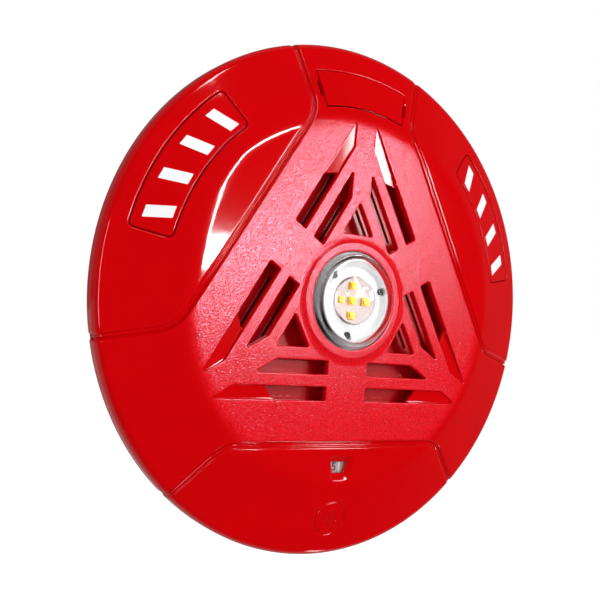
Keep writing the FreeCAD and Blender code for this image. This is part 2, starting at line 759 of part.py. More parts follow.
# ---- base ----
def mounting_base():
    body = disc(base_r, 0, base_floor)
    body = body.fuse(ring(base_inner, base_r, 0, base_top))
    for angle in lug_angles:
        inside, top = chassis_r + seat_gap * 2, tab_z + tab_h
        tab = sector(inside, base_inner + 0.5, tab_half, angle, tab_z, top)
        stop = sector(inside, base_inner + 0.5, 1.2, angle - tab_half - 1.6, lug_z, top)
        body = body.fuse(tab).fuse(stop)
    for angle in range(0, 360, 30):
        rib = block(base_rib_l, 1.4, 0, skirt_z - seat_gap, base_inner - base_rib_l / 2 + 0.2, 0)
        body = body.fuse(turned(rib, angle + 15))
    body = body.fuse(disc(lock_boss_r, 0, chassis_floor_z - 0.4, 0, lock_screw_v))
    body = body.cut(disc(1.5, base_floor, 40, 0, lock_screw_v))
    body = body.cut(block(entry_w, entry_h, -1, base_floor + 3, 0, entry_y, 4.0))
    for index in (-1, 1):
        r = box_screw_r
        tall = block(2 * r, box_slot_l, -1, 9, 0, index * gang_spacing / 2, r - 0.001)
        wide = block(box_slot_l, 2 * r, -1, 9, index * octagon_spacing / 2, 0, r - 0.001)
        body = body.fuse(block(13, 13, 0, base_floor, 0, index * gang_spacing / 2)).cut(tall).cut(wide)
    return body.removeSplitter()


def terminal_x(index):
    return (index - (term_count - 1) / 2) * term_pitch


def terminal_block():
    z1 = base_floor + term_h
    body = block(term_w, term_d, base_floor, z1, 0, term_y, 1.0)
    for index in range(term_count):
        x = terminal_x(index)
        body = body.cut(block(8.0, term_d - 4.0, base_floor + 2.0, z1 + 1, x, term_y))
        body = body.cut(block(6.0, 6.0, leaf_z + leaf_t, z1 - 1.0, x, term_y + term_d / 2))
        body = body.cut(block(leaf_w, 6.0, leaf_z, leaf_z + leaf_t, x, term_y - term_d / 2))
    return body.removeSplitter()


def terminal_clamps():
    """Square washers that press the wires, one per terminal."""
    z0 = leaf_z + leaf_t
    out = []
    for index in range(term_count):
        plate = block(7.0, 7.0, z0 + 0.3, z0 + 1.3, terminal_x(index), term_y)
        out.append(plate.cut(disc(1.8, 0, 40, terminal_x(index), term_y)))
    return Part.makeCompound(out)


def terminal_screws():
    z0 = leaf_z + leaf_t
    return Part.makeCompound([
        screw(terminal_x(i), term_y, z0 + 1.3, base_floor + 2.6, 1.5, term_screw_r, 2.0, True)
        for i in range(term_count)])


def contact_leaves():
    """Spring strips from the terminals to under the head's pins."""
    out = []
    for index in range(term_count):
        x = terminal_x(index)
        y0, y1 = pin_y - 3.5, term_y
        strip = block(leaf_w, y1 - y0, leaf_z, leaf_z + leaf_t, x, (y0 + y1) / 2)
        foot = block(leaf_w, leaf_t, base_floor, leaf_z + leaf_t, x, y0 - leaf_t / 2)
        tab = block(6.4, 6.4, leaf_z, leaf_z + leaf_t, x, term_y)
        out.append(strip.fuse(foot).fuse(tab).cut(disc(1.5, 0, 40, x, term_y)).removeSplitter())
    return Part.makeCompound(out)


nodes = {
    "mounting_base": mounting_base(),
    "terminal_block": terminal_block(),
    "terminal_clamps": terminal_clamps(),
    "terminal_screws": terminal_screws(),
    "contact_leaves": contact_leaves(),
    "front_cover": front_cover(),
    "label_left": insert(label_inner, label_outer, label_half, 150, label_t, 1.3),
    "label_right": insert(label_inner, label_outer, label_half, 30, label_t, 1.3),
    "name_plate": name_plate(),
    "lens": lens(),
    "lens_gasket": lens_gasket(),
    "reflector": reflector(),
    "inner_optic": inner_optic(),
    "led_board": led_board(),
    "led_packages": led_packages(),
    "reflector_screws": reflector_screws(),
    "sound_baffle": sound_baffle(),
    "baffle_screws": baffle_screws(),
    "main_board": main_board(),
    "board_screws": board_screws(),
    "capacitors": capacitors(),
    "inductor": inductor(),
    "inductor_coil": inductor_coil(),
    "circuit_chips": circuit_chips(),
    "led_header": led_header(),
    "candela_switch": candela_switch(),
    "tone_switch": tone_switch(),
    "sounder_housing": sounder_housing(),
    "piezo_plate": piezo_plate(),
    "piezo_ceramic": piezo_ceramic(),
    "sounder_ring": sounder_ring(),
    "rear_chassis": rear_chassis(),
    "cover_screws": cover_screws(),
    "lock_screw": lock_screw(),
    "contact_pins": contact_pins(),
    "candela_selector": candela_selector(),
    "tone_dial": tone_dial(),
}

for name, shape in nodes.items():
    shape.rotate(V(0, 0, 0), V(1, 0, 0), 90)
    shape.exportStep("parts/" + name + ".step")
    print(name, len(shape.Solids), round(shape.Volume), shape.isValid())
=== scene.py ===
import bpy
import math
import numpy as np
from mathutils import Matrix, Quaternion, Vector
from mathutils.geometry import delaunay_2d_cdt


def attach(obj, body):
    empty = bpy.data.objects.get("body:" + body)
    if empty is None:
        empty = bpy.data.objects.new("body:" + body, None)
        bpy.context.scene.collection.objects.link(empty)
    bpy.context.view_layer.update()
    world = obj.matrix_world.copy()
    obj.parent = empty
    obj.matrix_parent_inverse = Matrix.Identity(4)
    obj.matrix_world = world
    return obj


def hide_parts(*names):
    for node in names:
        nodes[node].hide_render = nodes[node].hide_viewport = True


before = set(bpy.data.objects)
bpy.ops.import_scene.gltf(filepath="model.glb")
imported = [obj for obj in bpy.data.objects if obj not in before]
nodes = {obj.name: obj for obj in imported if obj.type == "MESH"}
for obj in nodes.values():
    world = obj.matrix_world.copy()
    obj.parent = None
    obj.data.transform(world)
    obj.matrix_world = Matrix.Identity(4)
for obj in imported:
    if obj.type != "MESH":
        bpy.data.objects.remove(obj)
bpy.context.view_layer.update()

MM = 0.001


def put(name, data):
    """New object with this data, in the scene."""
    obj = bpy.data.objects.new(name, data)
    bpy.context.scene.collection.objects.link(obj)
    return obj


# ---- camera, fitted to the photograph's perspective ----
CAMERA_LENS, CAMERA_SENSOR = 47.892, 36.0
CAMERA_AT = Vector((-0.16044, -0.24543, -0.01093))
CAMERA_RIGHT = Vector((0.83392, -0.54582, 0.08163))
CAMERA_UP = Vector((-0.08824, 0.01414, 0.99600))
CAMERA_BACK = Vector((-0.54479, -0.83778, -0.03637))

cam_data = bpy.data.cameras.new("camera")
cam_data.lens = CAMERA_LENS
cam_data.sensor_width = CAMERA_SENSOR
cam = put("camera", cam_data)
cam_axes = Matrix((CAMERA_RIGHT, CAMERA_UP, CAMERA_BACK)).transposed().to_4x4()
cam.matrix_world = Matrix.Translation(CAMERA_AT) @ cam_axes
bpy.context.scene.camera = cam

# ---- sizes of the face, millimetres, in the plane of the face (x right, y up, z from the wall) ----
FACE_R, HUB_R, HUB_Z, BACK_Z = 86.5, 60.5, 31.4, 18.1
SLOPE = math.radians(15.9)
HUB_BLEND, SHOULDER_R, COVER_T = 25.0, 3.2, 2.2
LENS_HOLE = 16.65
COLLAR_R, COLLAR_H, COLLAR_INNER_H, COLLAR_FLAT = 20.6, 0.62, 0.55, 0.62
COLLAR_DIP, COLLAR_DIP_W = 0.12, 0.06
BEAD_R, BEAD_FADE = 60.5, 4.0
GROOVE_V, GROOVE_ANGLE, GROOVE_CORNER = 48.1, 42.1, 13.0
PANELS = (30.0, 150.0, 270.0)
ARMS = (90.0, 210.0, 330.0)
COS60, SIN60 = 0.5, math.sqrt(3) / 2


# ---- plane geometry ----
def rot(points, degrees):
    a = math.radians(degrees)
    c, s = math.cos(a), math.sin(a)
    p = np.asarray(points, float)
    return np.column_stack([p[:, 0] * c - p[:, 1] * s, p[:, 0] * s + p[:, 1] * c])


def polar(r, degrees):
    a = math.radians(degrees)
    return np.array([r * math.cos(a), r * math.sin(a)])


def rounded(points, closed=True, steps=8):
    """Polyline through (x, y, corner radius) points, with its corners rounded."""
    out = []
    n = len(points)
    for i, (x, y, r) in enumerate(points):
        p = np.array([x, y])
        if r <= 0 or (not closed and i in (0, n - 1)):
            out.append(p)
            continue
        a = np.array(points[i - 1][:2]) - p
        b = np.array(points[(i + 1) % n][:2]) - p
        a, b = a / np.linalg.norm(a), b / np.linalg.norm(b)
        half = math.acos(np.clip(np.dot(a, b), -1, 1)) / 2
        centre = p + (a + b) / np.linalg.norm(a + b) * (r / math.sin(half))
        start = p + a * (r / math.tan(half)) - centre
        end = p + b * (r / math.tan(half)) - centre
        a0, a1 = math.atan2(start[1], start[0]), math.atan2(end[1], end[0])
        turn = (a1 - a0 + math.pi) % (2 * math.pi) - math.pi
        for k in range(steps + 1):
            t = a0 + turn * k / steps
            out.append(centre + r * np.array([math.cos(t), math.sin(t)]))
    return np.array(out)


def resample(line, step, closed=True):
    """The polyline with long runs divided, its own points kept."""
    pts = np.vstack([line, line[:1]]) if closed else line
    out = []
    for a, b in zip(pts[:-1], pts[1:]):
        n = max(1, int(math.ceil(np.linalg.norm(b - a) / step)))
        for k in range(n):
            out.append(a + (b - a) * k / n)
    if not closed:
        out.append(pts[-1])
    return np.array(out)


def distance(p, line, closed=True):
    """Distance from every point to a polyline; negative inside a closed one."""
    a = line
    b = np.roll(line, -1, axis=0)
    if not closed:
        a, b = a[:-1], b[:-1]
    best = np.full(len(p), 1e9)
    inside = np.zeros(len(p), bool)
    side = np.zeros(len(p))
    for p0, p1 in zip(a, b):
        d = p1 - p0
        q = p - p0
        length = np.dot(d, d)
        if length < 1e-12:
            continue
        t = np.clip(q @ d / length, 0, 1)
        gap = np.hypot(q[:, 0] - t * d[0], q[:, 1] - t * d[1])
        nearer = gap < best
        best = np.where(nearer, gap, best)
        side = np.where(nearer, d[0] * q[:, 1] - d[1] * q[:, 0], side)
        if closed:
            cross = (p0[1] > p[:, 1]) != (p1[1] > p[:, 1])
            with np.errstate(divide="ignore", invalid="ignore"):
                at = p0[0] + (p[:, 1] - p0[1]) * d[0] / (d[1] if d[1] else 1e-12)
            inside ^= cross & (p[:, 0] < at)
    if closed:
        return np.where(inside, -best, best)
    return np.where(side < 0, -best, best)


def beside(line, offset, closed=True):
    """Points of the polyline moved sideways (to the left), where they keep that distance."""
    if closed:
        tangent = np.roll(line, -1, axis=0) - np.roll(line, 1, axis=0)
    else:
        tangent = np.gradient(line, axis=0)
    tangent /= np.maximum(np.linalg.norm(tangent, axis=1), 1e-9)[:, None]
    moved = line + np.column_stack([-tangent[:, 1], tangent[:, 0]]) * offset
    keep = np.abs(distance(moved, line, closed)) > abs(offset) * 0.985 - 1e-6
    return moved[keep]


# ---- profile of the face: distance along it from the axis gives radius, height and normal ----
def face_profile():
    pts, normals = [], []
    tangent_l = HUB_BLEND * math.tan(SLOPE / 2)
    hub_end = HUB_R - tangent_l

    def line(a, b, n):
        a, b = np.array(a, float), np.array(b, float)
        d = (b - a) / np.linalg.norm(b - a)
        for k in range(n):
            pts.append(a + (b - a) * k / n)
            normals.append((-d[1], d[0]))

    def arc(centre, r, a0, a1, n):
        for k in range(n):
            t = a0 + (a1 - a0) * k / n
            pts.append(np.array(centre) + r * np.array([math.cos(t), math.sin(t)]))
            normals.append((math.cos(t), math.sin(t)))
    # collar round the lens: a low rounded ring
    collar_in = LENS_HOLE + 0.02
    line((LENS_HOLE, HUB_Z + COLLAR_INNER_H), (collar_in, HUB_Z + COLLAR_INNER_H), 1)
    heights = []
    radii = np.linspace(collar_in, COLLAR_R, 60)
    for r in radii:
        t = (r - collar_in) / (COLLAR_R - collar_in)
        fall = smooth((t - COLLAR_FLAT) / (1 - COLLAR_FLAT))
        dip = COLLAR_DIP * math.exp(-(t / COLLAR_DIP_W) ** 2)
        heights.append(HUB_Z + COLLAR_H * (1 - fall) - dip)
    slopes = np.gradient(heights, radii)
    for r, z, s in list(zip(radii, heights, slopes))[:-1]:
        pts.append(np.array((r, z)))
        k = math.hypot(1, s)
        normals.append((-s / k, 1 / k))
    line((COLLAR_R, HUB_Z), (hub_end, HUB_Z), 60)
    half = math.pi / 2
    arc((hub_end, HUB_Z - HUB_BLEND), HUB_BLEND, half, half - SLOPE, 40)
    wall_z = HUB_Z - (FACE_R - HUB_R) * math.tan(SLOPE)
    turn = half - SLOPE
    reach = SHOULDER_R * math.tan(turn / 2)
    start = (HUB_R + tangent_l * math.cos(SLOPE), HUB_Z - tangent_l * math.sin(SLOPE))
    end = (FACE_R - reach * math.cos(SLOPE), wall_z + reach * math.sin(SLOPE))
    line(start, end, 60)
    arc((FACE_R - SHOULDER_R, wall_z - reach), SHOULDER_R, half - SLOPE, 0, 24)
    line((FACE_R, wall_z - reach), (FACE_R, BACK_Z + 0.3), 20)
    arc((FACE_R - 0.3, BACK_Z + 0.3), 0.3, 0, -half, 6)
    line((FACE_R - 0.3, BACK_Z), (FACE_R - COVER_T + 0.3, BACK_Z), 6)
    pts.append(np.array((FACE_R - COVER_T + 0.3, BACK_Z)))
    normals.append((0, -1))
    pts = np.array(pts)
    step = np.linalg.norm(np.diff(pts, axis=0), axis=1)
    along = np.concatenate([[0], np.cumsum(step)]) + LENS_HOLE
    return along, pts, np.array(normals)


def smooth(t):
    """Soft step from 0 to 1 as t goes from 0 to 1."""
    t = np.clip(t, 0.0, 1.0)
    return t * t * (3 - 2 * t)


ALONG, PROFILE, PROFILE_N = face_profile()
RHO_END = ALONG[-1]


def unrolled(r):
    """Distance along the face at which the profile reaches radius r."""
    return float(np.interp(r, PROFILE[:, 0], ALONG))


def rim_profile(p):
    """Radius, height and normal of the plain face at points of the unrolled plane."""
    rho = np.maximum(np.hypot(p[:, 0], p[:, 1]), LENS_HOLE)
    r = np.interp(rho, ALONG, PROFILE[:, 0])
    z = np.interp(rho, ALONG, PROFILE[:, 1])
    nr = np.interp(rho, ALONG, PROFILE_N[:, 0])
    nz = np.interp(rho, ALONG, PROFILE_N[:, 1])
    k = np.hypot(nr, nz)
    return rho, r, z, nr / k, nz / k


def lift(p, depth):
    """Points of the unrolled plane put on the face, sunk by depth."""
    rho, r, z, nr, nz = rim_profile(p)
    ux, uy = p[:, 0] / rho, p[:, 1] / rho
    rr = r - depth * nr
    zz = z - depth * nz
    return np.column_stack([rr * ux, -zz, rr * uy])


# ---- features of the face ----
def slant(d, t):
    """Point at distance d across and t along an arm's slanted rows."""
    return SIN60 * d - COS60 * t, COS60 * d + SIN60 * t


def slant_at(d, u):
    """Point at distance d across the slanted rows and u beside the arm's middle."""
    return u, (d - SIN60 * u) / COS60


SLOT_OUT, SLOT_W, RIB_W = 33.85, 4.55, 4.05
SLOT_END, MIDDLE_RIB, SLOT_FAR, VENT_FOOT = 8.1, 4.0, 29.6, 22.4
BLADE_D, BLADE_END_D, BLADE_WALL, BLADE_WALL_OUT = 1.3, 0.35, 0.42, 0.12
LIP, HOLE_DROP = 0.42, 30.0


def arm_outlines():
    d1 = SLOT_OUT
    d2 = d1 - SLOT_W
    d3 = d2 - RIB_W
    d4 = d3 - SLOT_W
    d5 = d4 - RIB_W
    r = 0.5
    outer = [slant(d1, SLOT_END) + (r,), slant(d1, SLOT_FAR - 2.0) + (r,),
             slant(d2, SLOT_FAR + 2.0) + (r,), slant(d2, SLOT_END) + (r,)]
    middle = [slant(d3, SLOT_END) + (r,), slant_at(d3, MIDDLE_RIB) + (0.3,),
              slant_at(d4, MIDDLE_RIB) + (r,), slant(d4, SLOT_END) + (r,)]
    foot = (d5 - COS60 * VENT_FOOT) / SIN60
    vent = [(-foot, VENT_FOOT, r), (foot, VENT_FOOT, r), (0, d5 / COS60, r)]
    blade = [slant(d1, SLOT_FAR - 3.2) + (0.1,), slant_at(d1, MIDDLE_RIB) + (0.4,),
             slant_at(d2, MIDDLE_RIB) + (1.5,), slant(d2, SLOT_FAR + 0.8) + (0.1,)]
    return outer, middle, vent, blade


def flip(line):
    """Mirror image of a loop across the arm's middle."""
    return (line * [-1, 1])[::-1]


def counter(line):
    """The loop, made to run counterclockwise."""
    x, y = line[:, 0], line[:, 1]
    area = np.dot(x, np.roll(y, -1)) - np.dot(y, np.roll(x, -1))
    return line if area > 0 else line[::-1]


outer, middle, vent, blade = [rounded(o) for o in arm_outlines()]
slots = []
blades = []
for arm in ARMS:
    for line in (outer, flip(outer), middle, flip(middle), vent):
        slots.append(counter(resample(rot(line, arm - 90), 0.9)))
    for line in (blade, flip(blade)):
        blades.append((counter(resample(rot(line, arm - 90), 0.9)), arm))


def groove_line():
    """Middle of a panel's groove for the panel towards +y, from rim to rim."""
    b = math.radians(GROOVE_ANGLE)
    u = GROOVE_V * math.tan(b)
    far = RHO_END + 3
    pts = [(far * math.sin(b), far * math.cos(b), 0), (u, GROOVE_V, GROOVE_CORNER),
           (-u, GROOVE_V, GROOVE_CORNER), (-far * math.sin(b), far * math.cos(b), 0)]
    return rounded(pts, closed=False, steps=16)


GROOVE = resample(groove_line(), 0.8, closed=False)
grooves = [rot(GROOVE, angle - 90) for angle in PANELS]
# the groove's section, from the hub's side (-) to the panel's (+): sunk lip, valley, low ridge, lip
SECTION_D = np.array([-1.35, -1.15, -0.95, -0.75, -0.6, -0.45, -0.25, 0.0,
                      0.2, 0.35, 0.5, 0.7, 0.9, 1.1, 1.3, 1.5])
SECTION_H = np.array([0.0, 0.03, 0.18, 0.6, 0.85, 0.86, 0.6, 0.36,
                      0.3, 0.32, 0.44, 0.58, 0.46, 0.18, 0.04, 0.0])


def sector_loop(inner, outer_r, half, middle_angle, corner):
    """Outline of a ring segment with rounded corners."""
    def arc(r, a0, a1):
        n = max(4, int(abs(a1 - a0) * math.pi / 180 * r))
        return [polar(r, middle_angle + a0 + (a1 - a0) * k / n) for k in range(n + 1)]
    d_in, d_out = math.degrees(corner / inner), math.degrees(corner / outer_r)
    pts = arc(inner, -half + d_in, half - d_in)
    corner_in = polar(inner, middle_angle + half)
    pts += quarter(pts[-1], corner_in, polar(inner + corner, middle_angle + half))
    out = arc(outer_r, half - d_out, -half + d_out)
    pts += quarter(polar(outer_r - corner, middle_angle + half), polar(outer_r, middle_angle + half), out[0])
    pts += out
    pts += quarter(out[-1], polar(outer_r, middle_angle - half), polar(outer_r - corner, middle_angle - half))
    pts += quarter(polar(inner + corner, middle_angle - half), polar(inner, middle_angle - half), pts[0])
    pts = np.array(pts)
    keep = np.linalg.norm(pts - np.roll(pts, 1, axis=0), axis=1) > 0.02
    return counter(resample(pts[keep], 0.9))


def quarter(a, corner, b):
    """Short curve from a to b that rounds the corner."""
    a, corner, b = np.array(a), np.array(corner), np.array(b)
    out = []
    for k in range(7):
        t = k / 6
        out.append(a * (1 - t) ** 2 + corner * (2 * t * (1 - t)) + b * (t * t))
    return out


LABEL_IN, LABEL_OUT, LABEL_HALF, LABEL_T = unrolled(66.9), unrolled(80.2), 19.4, 1.2
PLATE_IN, PLATE_OUT, PLATE_HALF, PLATE_T = unrolled(64.6), unrolled(77.1), 14.4, 1.6
INSERT_GAP = 0.45
labels = [sector_loop(LABEL_IN, LABEL_OUT, LABEL_HALF, a, 2.4) for a in (150.0, 30.0)]
plate = sector_loop(PLATE_IN, PLATE_OUT, PLATE_HALF, 90.0, 0.5)
POCKET_LIP, POCKET_WALL = 0.38, 0.06
PRY_W, PRY_L, PRY_D = 0.9, 5.4, 2.0


def pry_notch(side):
    """Short slot in the cover beside an end of the name plate."""
    r = (PLATE_IN + PLATE_OUT) / 2
    half_l = PRY_L / 2
    pts = [(r - half_l, -PRY_W, 0.3), (r + half_l, -PRY_W, 0.3),
           (r + half_l, 0.3, 0.1), (r - half_l, 0.3, 0.1)]
    if side < 0:
        pts = [(x, -y, k) for x, y, k in pts][::-1]
    return counter(resample(rot(rounded(pts), 90.0 - side * PLATE_HALF), 0.5))


pry_notches = [pry_notch(side) for side in (-1, 1)]
pockets = [(labels[0], LABEL_T), (labels[1], LABEL_T), (plate, PLATE_T + 0.3)]
pockets += [(line, PRY_D) for line in pry_notches]

WINDOW_V0, WINDOW_V1, WINDOW_H0, WINDOW_H1 = 54.1, 57.9, 3.2, 2.1
BEVEL, BEVEL_D, BEVEL_EASE, BEVEL_EASE_D = 2.2, 1.2, 0.3, 0.12
window = counter(resample(rounded([
    (-WINDOW_H0, -WINDOW_V0, 0.4), (WINDOW_H0, -WINDOW_V0, 0.4),
    (WINDOW_H1, -WINDOW_V1, 0.4), (-WINDOW_H1, -WINDOW_V1, 0.4)]), 0.6))
MARK_V, MARK_R, MARK_LINE, MARK_D = unrolled(73.3), 6.2, 0.55, 0.35
MARK_TURN, MARK_BAR_STEP, MARK_BAR_HALF, MARK_BAR_SHORTER = 35, 2.2, 3.2, 0.8


# the plain grid of the face keeps these distances from its features, and reaches bound the search
GROOVE_CLEAR, SLOT_CLEAR, EDGE_CLEAR, WINDOW_CLEAR, MARK_CLEAR = 2.8, 0.95, 0.8, 3.0, 1.0
REACH, WINDOW_REACH = 1.0, 4.0


def blade_floor(p, arm):
    """Depth of a blade's sloping floor below the hub."""
    v = p @ polar(1.0, arm)
    v0 = slant(SLOT_OUT, SLOT_FAR - 2.6)[1]
    v1 = slant_at(SLOT_OUT, MIDDLE_RIB)[1]
    return BLADE_D - (BLADE_D - BLADE_END_D) * np.clip((v - v0) / (v1 - v0), -0.2, 1.05)


def near(p, line, reach):
    """True for the points in the polyline's box, widened by reach."""
    lo, hi = line.min(0) - reach, line.max(0) + reach
    return np.all((p > lo) & (p < hi), axis=1)


def round_lip(d, radius):
    """Depth of a rounded lip at distance d outside its edge."""
    t = np.clip(radius - d, 0, radius)
    return radius - np.sqrt(np.maximum(radius ** 2 - t ** 2, 0))


def mark_depth(q):
    """Depth of the round sunk mark at points measured from its middle."""
    line = np.abs(np.hypot(q[:, 0], q[:, 1]) - (MARK_R - MARK_LINE / 2))
    turned = rot(q, -MARK_TURN)
    for step in (-1, 0, 1):
        across = turned[:, 0] - step * MARK_BAR_STEP * math.cos(math.radians(MARK_TURN))
        beyond = np.abs(turned[:, 1]) - MARK_BAR_HALF + MARK_BAR_SHORTER * abs(step)
        line = np.minimum(line, np.hypot(across, np.maximum(beyond, 0)))
    return MARK_D * smooth((MARK_LINE / 2 + 0.22 - line) / 0.4)


def sunk(p, holes=True):
    """How far the face lies below its plain form at each point of the plane."""
    depth = np.zeros(len(p))
    for line in grooves:
        d = distance(p, line, closed=False)
        depth = np.maximum(depth, np.interp(-d, SECTION_D, SECTION_H, 0, 0))
    for line, arm in blades:
        m = near(p, line, REACH)
        d = distance(p[m], line)
        wall = smooth((BLADE_WALL_OUT - d) / BLADE_WALL)
        depth[m] = np.maximum(depth[m], blade_floor(p[m], arm) * wall)
    for line, t in pockets:
        m = near(p, line, REACH)
        d = distance(p[m], line)
        wall = POCKET_LIP + (t - POCKET_LIP) * np.clip(-d / POCKET_WALL, 0, 1)
        depth[m] = np.maximum(depth[m], np.where(d > 0, round_lip(d, POCKET_LIP), wall))
    q = p - [0, -MARK_V]
    m = np.hypot(q[:, 0], q[:, 1]) < MARK_R + 1.5
    depth[m] = np.maximum(depth[m], mark_depth(q[m]))
    if holes:
        for line in slots:
            m = near(p, line, REACH)
            d = distance(p[m], line)
            depth[m] = np.maximum(depth[m], round_lip(d, LIP) + np.maximum(-d, 0) * HOLE_DROP)
        m = near(p, window, WINDOW_REACH)
        d = distance(p[m], window)
        ease = BEVEL_EASE_D * smooth((BEVEL + BEVEL_EASE - d) / (2 * BEVEL_EASE))
        bevel = BEVEL_D * np.clip(1 - d / BEVEL, 0, 1) + ease
        bevel = np.where(d > BEVEL + BEVEL_EASE, 0, bevel) + np.maximum(-d, 0) * HOLE_DROP
        depth[m] = np.maximum(depth[m], bevel)
    return depth


def face_normals(p, depth):
    """Outward normals of the face sunk by the function depth."""
    e = 0.02
    step_x, step_y = np.array([e, 0]), np.array([0, e])
    dx = lift(p + step_x, depth(p + step_x)) - lift(p - step_x, depth(p - step_x))
    dy = lift(p + step_y, depth(p + step_y)) - lift(p - step_y, depth(p - step_y))
    n = np.cross(dx, dy)
    return n / np.maximum(np.linalg.norm(n, axis=1), 1e-12)[:, None]


def plan_points():
    """Points, closed edges and hole loops of the plane that becomes the cover."""
    rows, edges = [], []
    count = 0

    def add(line, closed, tie=True):
        nonlocal count
        if len(line) < 3:
            return
        rows.append(line)
        idx = list(range(count, count + len(line)))
        if tie:
            edges.extend(zip(idx[:-1], idx[1:]))
            if closed:
                edges.append((idx[-1], idx[0]))
        count += len(line)
    for line in slots:
        add(line, True)
        for d in (0.035, 0.14, 0.28, LIP, 0.7):
            add(beside(line, -d), True, False)
    add(window, True)
    for d in (0.35, 0.9, 1.5, 1.9, 2.2, 2.5):
        add(beside(window, -d), True, False)
    for line, _ in pockets:
        for d in (0.6, POCKET_LIP, 0.22, 0.12, 0.05, 0.0, -POCKET_WALL, -0.4):
            add(beside(line, -d), True, False)
    for line, _ in blades:
        for d in (0.35, 0.12, 0.02, -0.09, -0.2, -0.3, -0.6):
            add(beside(line, -d), True, False)
    for line in grooves:
        for d in (-2.2, -1.7, *SECTION_D, 1.85, 2.4):
            add(beside(line, -d, False), False, False)
    g = np.arange(-MARK_R - 0.8, MARK_R + 0.8, 0.2)
    gx, gy = np.meshgrid(g, g)
    mark = np.column_stack([gx.ravel(), gy.ravel()])
    mark = mark[np.hypot(mark[:, 0], mark[:, 1]) < MARK_R + 0.7] + [0, -MARK_V]
    feature = np.vstack(rows)
    rings = list(np.linspace(LENS_HOLE, COLLAR_R, 15)) + list(np.arange(22.5, 57, 2.2))
    rings += [57.0, 58.0, 59.0, 59.85, 60.0, 60.15] + list(np.arange(61, 65, 0.9))
    rings += list(np.arange(65, 83.4, 2.0))
    rings += list(np.arange(83.6, RHO_END, 0.42)) + [RHO_END]
    base, ties = [], []
    total = 0
    for r in rings:
        n = 512 if r > 56 else 288 if r > 30 else 192
        t = np.arange(n) * 2 * math.pi / n
        base.append(np.column_stack([r * np.cos(t), r * np.sin(t)]))
        if r in (rings[0], rings[-1]):
            ties += [(total + k, total + (k + 1) % n) for k in range(n)]
        total += n
    base = np.vstack(base)
    keep = np.ones(len(base), bool)
    for line in grooves:
        keep &= np.abs(distance(base, line, False)) > GROOVE_CLEAR
    for line in slots:
        m = near(base, line, REACH)
        keep[m] &= distance(base[m], line) >= SLOT_CLEAR
    for line, _ in blades + pockets:
        m = near(base, line, REACH)
        keep[m] &= np.abs(distance(base[m], line)) >= EDGE_CLEAR
    m = near(base, window, WINDOW_REACH)
    keep[m] &= distance(base[m], window) >= WINDOW_CLEAR
    keep &= np.hypot(base[:, 0], base[:, 1] + MARK_V) > MARK_R + MARK_CLEAR
    rho = np.hypot(base[:, 0], base[:, 1])
    keep |= (rho < LENS_HOLE + 0.01) | (rho > RHO_END - 0.01)
    rho_f = np.hypot(feature[:, 0], feature[:, 1])
    order = rho_f < RHO_END - 0.1
    new_id = np.cumsum(order) - 1
    edges = [(new_id[a], new_id[b]) for a, b in edges if order[a] and order[b]]
    base_id = np.cumsum(keep) - 1 + int(order.sum())
    edges += [(base_id[a], base_id[b]) for a, b in ties]
    pts = np.vstack([feature[order], base[keep], mark])
    return pts, edges


def triangulate(pts, edges, drop):
    """Triangles of the plane that keep the edges, without those whose centres drop() names."""
    corners = [Vector(p) for p in pts]
    ties = [(int(a), int(b)) for a, b in edges]
    verts, _, faces, _, _, _ = delaunay_2d_cdt(corners, ties, [], 0, 1e-5)
    p = np.array([(v.x, v.y) for v in verts])
    f = np.array([t for t in faces if len(t) == 3])
    centre = p[f].mean(axis=1)
    f = f[~drop(centre)]
    a, b, c = p[f[:, 0]], p[f[:, 1]], p[f[:, 2]]
    area = (b[:, 0] - a[:, 0]) * (c[:, 1] - a[:, 1]) - (b[:, 1] - a[:, 1]) * (c[:, 0] - a[:, 0])
    f[area < 0] = f[area < 0][:, ::-1]
    used = np.unique(f)
    back_id = np.zeros(len(p), int)
    back_id[used] = np.arange(len(used))
    return p[used], back_id[f]


def boundary(f):
    """Directed edges that only one triangle uses."""
    e = np.vstack([f[:, [0, 1]], f[:, [1, 2]], f[:, [2, 0]]])
    seen = {(a, b) for a, b in e.tolist()}
    return [(a, b) for a, b in e.tolist() if (b, a) not in seen]


def solid_sheet(name, p, f, top, bottom, top_n, bottom_n):
    """Closed mesh from a plane triangulation: a top, a bottom and walls between them."""
    n = len(p)
    verts = np.vstack([top, bottom]) * MM
    walls = boundary(f)
    faces = f.tolist() + (f[:, ::-1] + n).tolist() + [[b, a, a + n, b + n] for a, b in walls]
    mesh = bpy.data.meshes.new(name)
    mesh.from_pydata(verts.tolist(), [], faces)
    mesh.validate()

    def across(a, b):
        """Unit vector at right angles to the wall below an edge."""
        w = np.cross(top[b] - top[a], bottom[a] - top[a])
        return w / max(np.linalg.norm(w), 1e-9)
    flow = {}
    for a, b in walls:
        w = across(a, b)
        flow.setdefault(a, []).append(w)
        flow.setdefault(b, []).append(w)
    mean = {}
    for k, ws in flow.items():
        if len(ws) > 1 and np.dot(ws[0], ws[1]) > 0.6:
            w = ws[0] + ws[1]
            mean[k] = w / np.linalg.norm(w)
    normals = []
    for tri in f:
        normals += [top_n[k] for k in tri]
    for tri in f[:, ::-1]:
        normals += [bottom_n[k] for k in tri]
    for a, b in walls:
        w = across(a, b)
        wa, wb = -mean.get(a, w), -mean.get(b, w)
        normals += [wb, wa, wa, wb]
    mesh.polygons.foreach_set("use_smooth", [True] * len(mesh.polygons))
    if len(mesh.loops) == len(normals):
        mesh.normals_split_custom_set([tuple(v) for v in normals])
    return put(name, mesh)


def plain_inward(p):
    """Normals of the plain face, turned inwards."""
    rho, _, _, nr, nz = rim_profile(p)
    return -np.column_stack([nr * p[:, 0] / rho, -nz, nr * p[:, 1] / rho])


